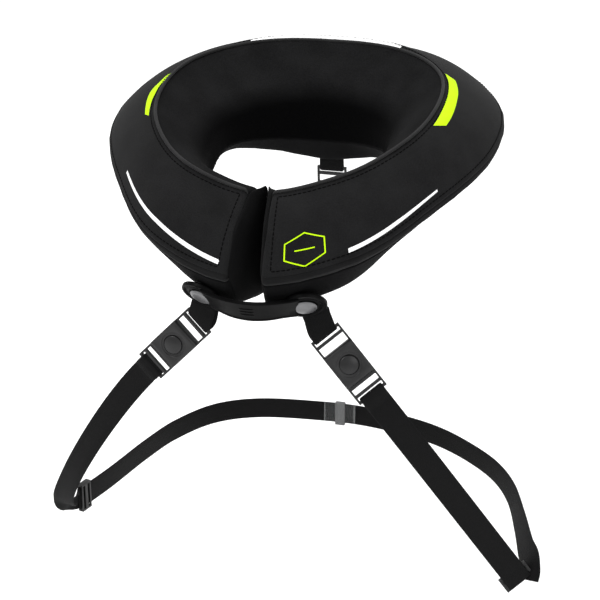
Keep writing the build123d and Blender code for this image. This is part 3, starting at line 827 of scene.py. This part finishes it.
def make_set():
    """Pale floor, even pale surroundings and three soft lights."""
    bpy.ops.object.select_all(action="DESELECT")
    bpy.ops.mesh.primitive_plane_add(size=8, location=(0, 0, cad_box[0][2] - 0.001))
    floor = named(bpy.context.object, "floor")
    material, tree, shader = new_material("pale_floor", 0.9, Emission_Color=(1, 1, 1, 1),
                                          Emission_Strength=0.3)
    grain = place_group(tree, GRAIN, "Object", Fine=60.0, Broad=2.0)
    tinted(tree, shader, grain["Broad"], grey(0.90, 0.90), grey(0.92, 0.92))
    floor.data.materials.append(material)
    world = bpy.data.worlds.new("studio")
    bpy.context.scene.world = world
    world.use_nodes = True
    tree = world.node_tree
    background = tree.nodes["Background"].inputs
    background["Color"].default_value = (1, 1, 1, 1)
    seen = add_node(tree, "LightPath").outputs["Is Camera Ray"]
    feed(tree, background["Strength"], wire_math(tree, "MULTIPLY_ADD", seen, 0.3, 0.75))
    area_light("key", (-0.9, -1.1, 1.5), (0, 0, -0.05), 0.9, 22)
    area_light("fill", (1.3, -0.9, 0.7), (0, 0, -0.1), 1.0, 9)
    area_light("top", (0.0, 0.5, 1.6), (0, 0, 0), 1.2, 14)
    bpy.context.scene.view_settings.view_transform = "Standard"


make_camera()
make_set()
make_collar()


# ---- Prints and films on the outer panels ----
def panel_patch(name, turns, low, high, columns, rows, lift=0.35):
    """A thin film on the outer panel; low and high give its shares of the panel's width at a share u."""
    def place(u, v):
        turn = turns(u, v)
        share = low(u) + (high(u) - low(u)) * v
        edge = min(u * columns, (1 - u) * columns, v * rows, (1 - v) * rows)
        return cloth_point("panel", turn, share, lift if edge > 0.01 else 0.0)

    return grid_piece(name, columns, rows, place, size=(0.1, 0.01), flip=True)


def between(points):
    """A value that follows a few (share, value) points."""
    def value(u):
        for (u0, v0), (u1, v1) in zip(points, points[1:]):
            if u <= u1:
                t = (u - u0) / (u1 - u0)
                return v0 + (v1 - v0) * (ease(t) if len(points) > 3 else t)
        return points[-1][1]
    return value


def make_films():
    """Neon patches and reflective strips."""
    neon = ("neon_blade", "neon_patch", "neon_print", "neon")
    flash = ("flash_strip", "reflective_strip", "reflective", "white")
    for (name, node, slot, material), side_name, turns, low, high, columns, rows in (
            (neon, "left", lambda u, v: 72.5 + 33 * u - 2.5 * v * (1 - u),
             [(0, 0.82), (0.5, 0.80), (0.85, 0.88), (1, 0.955)],
             [(0, 0.885), (0.5, 0.915), (1, 0.957)], 40, 4),
            (neon, "right", lambda u, v: 360 - (81 + 39 * u - 4 * v * (1 - u)),
             [(0, 0.76), (0.55, 0.79), (0.86, 0.80), (1, 0.90)],
             [(0, 0.90), (0.45, 0.93), (1, 0.905)], 40, 4),
            (flash, "left", lambda u, v: 7.6 + 47.9 * u,
             [(0, 0.09), (0.5, 0.195), (1, 0.24)], [(0, 0.14), (0.5, 0.245), (1, 0.28)], 60, 2),
            (flash, "right", lambda u, v: 360 - (29.5 + 32.5 * u),
             [(0, 0.08), (0.5, 0.12), (1, 0.16)], [(0, 0.13), (0.5, 0.17), (1, 0.19)], 60, 2)):
        piece = panel_patch(f"{name}_{side_name}", turns, between(low), between(high), columns, rows)
        if side_name == "right":
            edit_all(piece, bpy.ops.mesh.flip_normals)
        dressed(piece, material, [f"{node}_{side_name}"], f"collar_{side_name}")
    rear = panel_patch("flash_strip_rear", lambda u, v: 146 + 64 * u,
                       lambda u: 0.895, lambda u: 0.975, 80, 3)
    dressed(rear, "white", ["rear_reflective_left", "rear_reflective_right"], ends=BACK_BLEND)


make_films()


# ---- Stitching ----
STITCH_LENGTH = 2.6
STITCH_PITCH = 3.6
STITCH_RADIUS = 0.42
STITCH_IN = 4.2             # from a panel's edge to its line of stitches
STITCH_FRONT = 2.6          # degrees from the front edge to the stitches beside it


def stitch_row(name, body, path, normals, ends=None):
    """Raised stitches along a line of points, each a short rounded bar."""
    deselect()
    bpy.ops.mesh.primitive_cylinder_add(vertices=6, radius=STITCH_RADIUS * MM, depth=STITCH_LENGTH * MM)
    pattern = bpy.context.object
    finish_with(pattern, "BEVEL", width=0.2 * MM, segments=1)
    corners = [vertex.co.copy() for vertex in pattern.data.vertices]
    faces = [tuple(face.vertices) for face in pattern.data.polygons]
    bpy.data.objects.remove(pattern, do_unlink=True)
    points, polygons = [], []
    travelled, due = 0.0, STITCH_PITCH / 2
    for i in range(len(path) - 1):
        step = (path[i + 1] - path[i]).length / MM
        while due <= travelled + step:
            t = (due - travelled) / step
            middle = path[i].lerp(path[i + 1], t)
            along = (path[i + 1] - path[i]).normalized()
            normal = normals[i].lerp(normals[i + 1], t).normalized()
            turn = axes(middle, along.cross(normal), along)
            first = len(points)
            points += [turn @ co for co in corners]
            polygons += [tuple(first + k for k in face) for face in faces]
            due += STITCH_PITCH
        travelled += step
    mesh = bpy.data.meshes.new(name)
    mesh.from_pydata(points, [], polygons)
    piece = placed(name, mesh)
    smooth_shade(piece)
    dressed(piece, "thread", None, body, ends)


def panel_normal(turn, share):
    """Outward direction of the outer panel."""
    path = panel_line(turn)
    place, out = walk(path, share * length_of(path))
    return (ring_point(place + out, turn) - ring_point(place, turn)).normalized()


def seam_path(first, last, steps, from_rim=True):
    """A line on the outer panel at one distance from the rim or the lower seam."""
    path, normals = [], []
    for k in range(steps + 1):
        turn = first + (last - first) * k / steps
        share = STITCH_IN / length_of(panel_line(turn))
        if from_rim:
            share = 1 - share
        path.append(cloth_point("panel", turn, share, 0.1))
        normals.append(panel_normal(turn, share))
    return path, normals


def make_stitching():
    """Lines of stitches beside the rim, along the lower seam and down the front edges."""
    for side_name, sign in SIDES:
        def at(angle):
            return angle if sign < 0 else 360 - angle

        body = f"collar_{side_name}"
        front = at(SPLIT_TURN + STITCH_FRONT)
        for label, steps, from_rim in (("rim", 110, True), ("lower", 130, False)):
            path, normals = seam_path(front, at(BACK_TURN), steps, from_rim)
            stitch_row(f"{label}_stitches_{side_name}", body, path, normals)
        shares = [0.07 + 0.86 * k / 30 for k in range(31)]
        stitch_row(f"front_stitches_{side_name}", body,
                   [cloth_point("panel", front, share, 0.1) for share in shares],
                   [panel_normal(front, share) for share in shares])
    for label, from_rim in (("rim", True), ("lower", False)):
        path, normals = seam_path(BACK_TURN, 360 - BACK_TURN, 120, from_rim)
        stitch_row(f"{label}_stitches_back", None, path, normals, BACK_BLEND)


make_stitching()


# ---- Places of the snaps and buckles ----
def stud_axes(side):
    """Directions at a snap: Z out of the base surface and X round the collar, away from the split."""
    turn = STUD_TURN if side < 0 else 360 - STUD_TURN
    base = corner(BASE_OUT, turn)
    low = corner(EDGE, turn) - Vector(BINDING_DROP)
    rise = (low - base).normalized()
    place = ring_point(base + (low - base) * STUD_SHARE, turn)
    out = (ring_point((rise.y, -rise.x), turn)).normalized()
    round_way = Vector((side * cos(radians(STUD_TURN)), sin(radians(STUD_TURN)), 0))
    return axes(place, round_way * side, out)


JOINT = {joint["name"]: joint for joint in frame["joints"]}


def box_middle(node):
    """The middle of a CAD node's box."""
    low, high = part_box(node)
    return (Vector(low) + Vector(high)) / 2


def buckle_axes(name):
    """A buckle's directions: Y along it, away from the collar, and Z out of its face."""
    run = Vector(JOINT[f"{name}_release"]["axis"]).normalized()
    face = -Vector(JOINT[f"{name}_press"]["axis"]).normalized()
    button_height = BUCKLE_THICK / 2 - BUTTON_DEEP + (BUTTON_DEEP + BUTTON_PROUD) / 2
    top = box_middle(f"push_button_{name}")
    top = top - run * (BUCKLE_FRAME + BUCKLE_HOUSING / 2) * MM - face * button_height * MM
    return axes(top, run.cross(face), face)


STUD = {name: stud_axes(side) for name, side in SIDES}
BUCKLE = {name: buckle_axes(name) for name in ("left", "right", "rear")}


def on(plane, x, y, z):
    """A point in metres from a plane's own millimetres."""
    return plane @ (Vector((x, y, z)) * MM)


def facing(plane, x, y, z):
    """A direction from a plane's own directions."""
    return (plane.to_3x3() @ Vector((x, y, z))).normalized()


# ---- Webbing ----
def spline(points, steps):
    """A smooth line through given points, with each point's other values carried along."""
    ends = [points[0] * 2 - points[1]] + points + [points[-1] * 2 - points[-2]]
    path = []
    for i in range(1, len(ends) - 2):
        a, b, c, d = ends[i - 1], ends[i], ends[i + 1], ends[i + 2]
        for k in range(steps):
            t = k / steps
            path.append(curve(a, b, c, d, t))
    path.append(ends[-2])
    return path


def tape(name, middles, acrosses, width=WEB_WIDTH, thick=WEB_THICK):
    """Flat webbing along a line of middle points, with its width direction at each; edges are rounded."""
    rows = len(middles) - 1
    travelled = [0.0]
    for a, b in zip(middles, middles[1:]):
        travelled.append(travelled[-1] + (b - a).length)
    section = tape_section(width, thick)
    count = len(section)

    def frame_at(i):
        along = (middles[min(i + 1, rows)] - middles[max(i - 1, 0)]).normalized()
        wide = acrosses[i] - along * acrosses[i].dot(along)
        wide.normalize()
        return wide, along.cross(wide)

    frames = [frame_at(i) for i in range(rows + 1)]

    def place(u, v):
        i = round(u * rows)
        x, y = section[round(v * count) % count]
        wide, face = frames[i]
        return middles[i] + wide * x * MM + face * y * MM

    piece = grid_piece(name, rows, count, place)
    uv = piece.data.uv_layers.active.data
    around = [0.0]
    for k in range(count):
        x0, y0 = section[k]
        x1, y1 = section[(k + 1) % count]
        around.append(around[-1] + sqrt((x1 - x0) ** 2 + (y1 - y0) ** 2) * MM)
    for loop in piece.data.loops:
        u, v = uv[loop.index].uv
        uv[loop.index].uv = (travelled[round(u * rows)], around[round(v * count)])
    close_ends(piece)
    smooth_shade(piece, 50)
    return piece


def tape_section(width, thick):
    """A flat section with rounded edges and a slightly thinner selvedge."""
    half, deep = width / 2, thick / 2
    top = [(-half + 0.5, deep * 0.8), (-half + 1.6, deep), (0, deep * 1.04), (half - 1.6, deep),
           (half - 0.5, deep * 0.8), (half, deep * 0.3)]
    return top + [(-x, -y) for x, y in top]


def lerp_ways(stops, share):
    """A direction between the directions given at some shares of a line."""
    for (t0, v0), (t1, v1) in zip(stops, stops[1:]):
        if share <= t1:
            t = (share - t0) / (t1 - t0)
            return v0.lerp(v1, ease(t))
    return stops[-1][1]


def bezier(a, b, c, d, t):
    """A point on a cubic curve with four control points."""
    return a * (1 - t) ** 3 + b * 3 * t * (1 - t) ** 2 + c * 3 * t ** 2 * (1 - t) + d * t ** 3


def half_turn(plane, bar, reach, height):
    """Points of the turn of webbing round a bar, from one face to the other."""
    angles = [pi * k / 8 for k in range(9)]
    return [on(plane, 0, bar + reach * sin(angle), height * cos(angle)) for angle in angles]


def web(piece, node, body=None, ends=None):
    """Makes a tape the black webbing that stands for a node."""
    return dressed(piece, "webbing", [node], body, ends)


def make_tab(name):
    """Short webbing from under a snap, round the buckle's top bar and back behind itself."""
    stud, plane = STUD[name], BUCKLE[name]
    start, out = on(stud, 0, 0, 2.2), facing(stud, 0, 0, 1)
    toward = plane.translation - start
    down = (toward - out * toward.dot(out)).normalized()
    wide = facing(plane, 1, 0, 0)
    across = (wide - out * wide.dot(out)).normalized()
    bar = BAR / 2
    lead_in = [start - down * 0.008, start, start + down * 0.008, start + down * 0.015,
               on(plane, 0, bar - 2.0, WRAP_RADIUS)]
    turn = half_turn(plane, bar, WRAP_RADIUS * 0.75, WRAP_RADIUS)
    back = [turn[-1], on(plane, 0, bar - 5, -1.6), start + down * 0.017 - out * 0.0015]
    middles = spline(lead_in, 6) + turn + spline(back, 6)[1:]
    tail = len(middles) - 33
    acrosses = [across.lerp(wide, min(i / 24, 1) if i < 30 else max(1 - (i - 33) / tail, 0.3))
                for i in range(len(middles))]
    web(tape(f"snap_tab_{name}", middles, acrosses), f"webbing_tab_{name}", f"collar_{name}")


FIGURE_TURNS = (11.3, 22.9)     # the plain outlined figure on the right panel
FIGURE_SHARES = (0.07, 0.44)
LINE_WIDTH = 0.9
FIGURE_RADIUS = 128         # of the panel where the figure lies


def make_figure():
    """A plain outlined hexagon with one bar across it, in thin film."""
    corners = [(0.5, 1.0), (1.0, 0.74), (1.0, 0.26), (0.5, 0.0), (0.0, 0.26), (0.0, 0.74)]
    strokes = list(zip(corners, corners[1:] + corners[:1]))
    strokes += [((0.26, 0.5), (0.74, 0.5))]
    wide_mm = (FIGURE_TURNS[1] - FIGURE_TURNS[0]) * radians(1) * FIGURE_RADIUS
    tall_mm = (FIGURE_SHARES[1] - FIGURE_SHARES[0]) * length_of(panel_line(FIGURE_TURNS[0]))
    pieces = []
    for start, end in strokes:
        run = Vector(((end[0] - start[0]) * wide_mm, (end[1] - start[1]) * tall_mm))
        aside = Vector((-run.y, run.x)).normalized() * LINE_WIDTH / 2
        reach = run.normalized() * LINE_WIDTH * 0.35

        def place(u, v):
            x = start[0] * wide_mm + run.x * u + aside.x * (2 * v - 1) + reach.x * (2 * u - 1)
            y = start[1] * tall_mm + run.y * u + aside.y * (2 * v - 1) + reach.y * (2 * u - 1)
            turn = 360 - (FIGURE_TURNS[0] + x / wide_mm * (FIGURE_TURNS[1] - FIGURE_TURNS[0]))
            share = FIGURE_SHARES[0] + y / tall_mm * (FIGURE_SHARES[1] - FIGURE_SHARES[0])
            return cloth_point("panel", turn, share, 0.3)

        pieces.append(grid_piece("stroke", 16, 1, place, size=(0.02, 0.001)))
    piece = joined("outlined_figure", pieces)
    middle = cloth_point("panel", 360 - sum(FIGURE_TURNS) / 2, sum(FIGURE_SHARES) / 2, 0.3)
    if piece.data.polygons[0].normal.dot(middle) < 0:
        edit_all(piece, bpy.ops.mesh.flip_normals)
    dressed(piece, "neon", ["neon_emblem"], "collar_right")


def keep_refined(node, edge, material, angle=38):
    """A merged copy of a CAD part with rounded edges, which stands for it."""
    piece = placed(f"{node}_shape", frame["nodes"][node].data.copy())
    pick(piece)
    if piece.data.has_custom_normals:
        bpy.ops.mesh.customdata_custom_splitnormals_clear()
    edit_all(piece, lambda: bpy.ops.mesh.remove_doubles(threshold=2e-6),
             lambda: bpy.ops.mesh.dissolve_limited(angle_limit=radians(1.5)))
    finish_with(piece, "BEVEL", width=edge * MM, segments=2, limit_method="ANGLE",
                angle_limit=radians(angle), harden_normals=False)
    smooth_shade(piece, angle)
    return dressed(piece, material, [node], body_of_node(node))


def body_of_node(node):
    """The body that a CAD node belongs to."""
    for body, nodes in frame["record"]["behaviour"]["bodies"].items():
        if node in nodes:
            return body
    return "root"


def make_buckle(name):
    """Housing and tongue with rounded edges, and a domed push button."""
    housing = f"buckle_housing_{name}"
    keep_refined(housing, 0.45, "buckle")
    keep_refined(f"buckle_tongue_{name}", 0.4, "buckle")
    middle = on(BUCKLE[name], 0, BUCKLE_FRAME + BUCKLE_HOUSING / 2, 0)
    up = facing(BUCKLE[name], 0, 0, 1)
    top = BUCKLE_THICK / 2
    radius = BUTTON_RADIUS
    profile = [(0.01, top - 2.8), (radius + 0.5, top - 2.8), (radius + 0.5, top - 2.1),
               (radius - 0.05, top - 2.1), (radius - 0.05, top - 0.3), (radius - 0.3, top + 0.15),
               (radius - 0.9, top + 0.45)]
    profile += [((radius - 1.2) * (1 - k / 8), top + 0.5 + 0.9 * (1 - (1 - k / 8) ** 2)) for k in range(8)]
    profile += [(0.01, top + 1.4)]
    dressed(lathe(f"button_{name}", profile, middle, up, 56), "button",
            [f"push_button_{name}"], f"{name}_button")
    ring = [(radius + 1.9, top - 0.65), (radius + 2.1, top - 0.2), (radius + 2.5, top + 0.06),
            (radius + 2.9, top + 0.1), (radius + 3.2, top - 0.05)]
    dressed(lathe(f"button_ring_{name}", ring, middle, up, 56), "buckle", None,
            body_of_node(housing))


# ---- Bridge ----
def bridge_frame(t):
    """Middle of the bridge's underside, its width direction and its face direction, from -1 to 1."""
    stud = STUD["right" if t > 0 else "left"]
    base = corner(BASE_OUT, 0)
    middle = Vector((0, -base.x - BRIDGE_REACH, base.y - 4)) * MM
    end = on(stud, 0, 0, BRIDGE_LAYER)
    place = middle * (1 - t * t) + Vector((0, end.y, end.z)) * t * t + Vector((abs(end.x) * t, 0, 0))
    along = Vector((abs(end.x), (end.y - middle.y) * 2 * t, (end.z - middle.z) * 2 * t)).normalized()
    face = Vector((0, -0.86, -0.5)) * (1 - t * t) + facing(stud, 0, 0, 1) * t * t
    face = (face - along * face.dot(along)).normalized()
    return place, along.cross(face), face


def bridge_band():
    """The band, thicker along its edges, with a plain recessed panel in the middle."""
    rows = 64
    half, top, thick = BRIDGE_WIDTH / 2, -BRIDGE_WIDTH / 2 - BRIDGE_RISE, BRIDGE_THICK
    lip = [(top, 0.3), (top, thick - 0.6), (top + 0.5, thick), (top + 1.6, thick), (top + 2.2, thick - 0.5),
           (0, thick - 0.5), (half - 2.2, thick - 0.5), (half - 1.6, thick), (half - 0.5, thick),
           (half, thick - 0.6), (half, 0.3), (half - 0.4, 0), (0, 0), (top + 0.4, 0)]
    count = len(lip)

    def place(u, v):
        t = -BAND_END + 2 * BAND_END * round(u * rows) / rows
        x, y = lip[round(v * count) % count]
        spread = 1 + 0.55 * max((abs(t) - 0.55) / 0.31, 0) ** 2 if x > 0 else 1
        middle, across, face = bridge_frame(t)
        return middle + across * x * spread * MM + face * y * MM

    piece = grid_piece("bridge_band", rows, count, place, size=(0.09, 0.04))
    close_ends(piece)
    smooth_shade(piece, 35)
    return piece


def eyelet(side_name):
    """A round end of the bridge with a raised rim and a seat for the cap."""
    low, top = BRIDGE_LAYER, BRIDGE_LAYER + BRIDGE_THICK
    radius = EYELET_RADIUS
    profile = [(SEAT_RADIUS, low + 0.4), (radius - 0.5, low), (radius, low + 0.5), (radius, top - 0.5),
               (radius - 0.5, top + 0.3), (radius - 1.8, top + 0.45), (radius - 2.6, top + 0.1),
               (radius - 3.0, top - 0.55), (radius - 4.4, top - 0.55), (radius - 4.9, top - 0.1),
               (CAP_RADIUS + 1.3, top + 0.05), (CAP_RADIUS + 0.5, top - 0.25), (SEAT_RADIUS, top - 0.3),
               (SEAT_RADIUS, low + 0.4)]
    stud = STUD[side_name]
    return lathe(f"bridge_eyelet_{side_name}", profile, stud.translation, facing(stud, 0, 0, 1), 72)


def make_bridge():
    """The snap bridge in one piece, and its two caps."""
    piece = joined("snap_bridge", [bridge_band(), eyelet("left"), eyelet("right"), bridge_mark()])
    middle, across, face = bridge_frame(-0.5)
    along = face.cross(across)
    if along.x < 0:
        along = -along
    dressed(piece, "bridge", ["bridge_anchor", "bridge_flap"],
            ends=("collar_left", "bridge", middle - along * 0.006, middle + along * 0.006))
    for side_name, body in (("left", "collar_left"), ("right", "bridge")):
        stud = STUD[side_name]
        base = CAP_LAYER
        profile = [(0.01, base), (CAP_RADIUS - 0.6, base), (CAP_RADIUS, base + 0.3),
                   (CAP_RADIUS, base + 0.8), (CAP_RADIUS - 0.5, base + 1.3)]
        profile += [(CAP_RADIUS * 0.93 * cos(pi / 2 * k / 10), base + 1.4 + 1.3 * sin(pi / 2 * k / 10))
                    for k in range(10)] + [(0.01, base + 2.7)]
        cap = lathe(f"cap_{side_name}", profile, stud.translation, facing(stud, 0, 0, 1), 64)
        dressed(cap, "cap", [f"snap_cap_{side_name}"], body=body)


def bridge_mark():
    """Three plain raised grip bars in the middle of the band."""
    bars = []
    for offset in (-3.2, 0.0, 3.2):
        def place(u, v, offset=offset):
            t = -0.13 + 0.26 * u
            middle, across, face = bridge_frame(t)
            angle = 2 * pi * v
            swell = sqrt(max(1 - (2 * u - 1) ** 6, 0.02))
            return (middle + across * (offset - BRIDGE_RISE / 2 + 0.6 * cos(angle)) * MM
                    + face * (BRIDGE_THICK - 0.5 + 0.5 * swell * sin(angle)) * MM)

        bars.append(grid_piece("grip_bar", 20, 8, place))
        edit_all(bars[-1], outward)
    return joined("grip_bars", bars)


# ---- Straps ----
LOOP_HEIGHT = -305.0
LOOP_PLAN = ((-172, -62), (-161, -20), (-149, 38), (-136, 82), (-112, 122), (-75, 144), (-22, 152),
             (20, 152), (62, 143), (98, 128), (130, 104), (156, 76), (174, 42), (187, -2), (197, -42),
             (203, -62))
LOOP = [Vector((x, y, LOOP_HEIGHT)) * MM for x, y in LOOP_PLAN]
RIGHT_END = LOOP[-1] + Vector((-5, -13, -12)) * MM
STRAP_SPLIT = 0.355         # share of the right lower strap that its upper piece takes
WRAP_BACK = 7.0             # how far a strap runs back under itself after it turns round a bar
HEM_Y = 0.1489              # metres; where the translucent strap hangs inside the back strap


def lower_strap_lines(name, first, last, steps):
    """Middle points and width directions of a lower strap between two shares of its length."""
    plane = BUCKLE[name]
    start = on(plane, 0, BUCKLE_LENGTH + WEB_THICK, 0)
    run = facing(plane, 0, 1, 0)
    wide = facing(plane, 1, 0, 0)
    if name == "left":
        forward = (LOOP[0] - LOOP[1]).normalized()
        end = LOOP[0] + (Vector((-forward.y, forward.x, 0)) * -1.6 - forward * 3.0) * MM
        leave = forward * 0.062
        stops = [(0, wide), (0.55, Vector((0.77, -0.35, -0.5))), (0.8, Vector((0.85, -0.3, 0.05))),
                 (0.93, Vector((0.5, -0.15, 0.75))), (1, Vector((0, 0, 1)))]
    else:
        end = RIGHT_END
        leave = (start - end) * 0.33
        stops = [(0, wide), (1, Vector((-0.70, -0.43, -0.57)))]
    if stops[0][1].dot(stops[1][1]) < 0:
        stops[0] = (0, -stops[0][1])
    middles, acrosses = [], []
    for k in range(steps + 1):
        t = first + (last - first) * k / steps
        middles.append(bezier(start, start + run * 0.060, end + leave, end, t))
        acrosses.append(lerp_ways(stops, t))
    return middles, acrosses


def strap_from_buckle(piece_name, name, last, steps):
    """A strap that turns round its buckle's bar and hangs down to a share of its length."""
    middles, acrosses = lower_strap_lines(name, 0, last, steps)
    plane = BUCKLE[name]
    way = facing(plane, 1, 0, 0)
    if acrosses[0].dot(way) <= 0:
        way = facing(plane, -1, 0, 0)
    skip = 1
    while (middles[skip] - middles[0]).length < 0.006:
        skip += 1
    lead = [on(plane, 0, LOW_BAR + WRAP_BACK * share, height)
            for share, height in ((1, -2.0), (0.6, -2.1), (0.25, -2.3))]
    for k in range(13):
        a = pi / 2 - pi * k / 12
        lead.append(on(plane, 0, LOW_BAR - 2.15 * max(cos(a), 0) ** 0.6,
                       -2.6 * abs(sin(a)) ** 0.6 * (1 if a > 0 else -1)))
    joint = spline([lead[-1], on(plane, 0, LOW_BAR + 4.0, 2.3), middles[skip]], 5)[1:-1]
    return tape(piece_name, lead + joint + middles[skip:], [way] * len(lead + joint) + acrosses[skip:])


def make_straps():
    """Lower straps, back strap, sliders and keeper."""
    start, _ = lower_strap_lines("left", 0, 1, 20)
    left = strap_from_buckle("chest_strap_left", "left", 1, 60)
    web(left, "lower_strap_left", ends=("collar_left", "left_tongue", start[9], start[1]))
    line, _ = lower_strap_lines("right", 0, 1, 20)
    upper = strap_from_buckle("chest_strap_right_upper", "right", STRAP_SPLIT, 24)
    web(upper, "lower_strap_right_upper", ends=("collar_right", "right_tongue", line[6], line[1]))
    middles, acrosses = lower_strap_lines("right", STRAP_SPLIT, 1, 40)
    lower = tape("chest_strap_right_lower", middles, acrosses)
    web(lower, "lower_strap_right_lower", ends=("collar_left", "collar_right", line[19], line[8]))
    middles = spline(LOOP + [RIGHT_END + Vector((4.0, 3.0, 1.0)) * MM], 8)
    count = len(middles) - 1
    acrosses = []
    for k in range(count + 1):
        share = max((k / count - 0.62) / 0.38, 0) ** 1.3
        acrosses.append(Vector((0, 0, 1)).lerp(Vector((0.70, 0.30, 0.60)), share))
    web(tape("back_strap_tape", middles, acrosses), "back_strap", "collar_left")
    for node in ("slider_left", "slider_right"):
        keep_refined(node, 0.3, "button")
    keep_refined("keeper", 0.3, "keeper")


def make_rear():
    """Rear webbing tab and the translucent strap down to the chest loop."""
    plane = BUCKLE["rear"]
    base = (corner(BASE_IN, 180) + corner(BASE_OUT, 180)) / 2
    top = Vector((0, base.x + 1, base.y + 4)) * MM
    turn = half_turn(plane, BAR / 2, 1.9, WRAP_RADIUS)
    back = [on(plane, 0, -4, -2.2), top + Vector((0, -0.002, 0))]
    middles = spline([top, on(plane, 0, -3, 2.0), turn[0]], 6)[:-1] + turn + back
    tab = tape("rear_tab", middles, [facing(plane, 1, 0, 0)] * len(middles))
    web(tab, "webbing_tab_rear", "collar_left")
    start = on(plane, 0, BUCKLE_LENGTH + WEB_THICK, 0)
    hem_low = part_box("rear_strap")[0][2]
    end = Vector((0, HEM_Y, LOOP_HEIGHT * MM + WEB_WIDTH * MM))
    middles = [on(plane, 0, LOW_BAR + along, -2.2) for along in (20, 12, 5)]
    middles += half_turn(plane, LOW_BAR, -1.9, -WRAP_RADIUS)
    middles += [bezier(start, start + Vector((0, 0.008, -0.060)), end + Vector((0, 0, 0.070)), end, k / 30)
                for k in range(1, 31)]
    middles += [Vector((0, HEM_Y, end.z + (hem_low - end.z) * k / 6)) for k in range(1, 7)]
    strap = tape("clear_rear_strap", middles, [Vector((1, 0, 0))] * len(middles), CLEAR_WIDTH, CLEAR_THICK)
    dressed(strap, "clear", ["rear_strap"],
            ends=("collar_left", "rear_tongue", start - Vector((0, 0, 0.10)), start - Vector((0, 0, 0.01))))


def make_spring(name):
    """A button's spring, as a copy of its CAD part with rounded edges."""
    node = f"button_spring_{name}"
    way = facing(BUCKLE[name], 0, 0, 1)
    spring = keep_refined(node, 0.04, "steel")
    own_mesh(spring)


def dress_inner_parts():
    """Materials for the CAD parts that stay as they are."""
    for node, part in frame["nodes"].items():
        if not part.hide_render:
            part.data.materials.clear()
            part.data.materials.append(MATERIAL["foam" if node.startswith("foam") else "steel"])


for tab_name, _ in SIDES:
    make_tab(tab_name)
make_figure()
for buckle_name in BUCKLE:
    make_buckle(buckle_name)
    make_spring(buckle_name)
make_bridge()
make_straps()
make_rear()
dress_inner_parts()
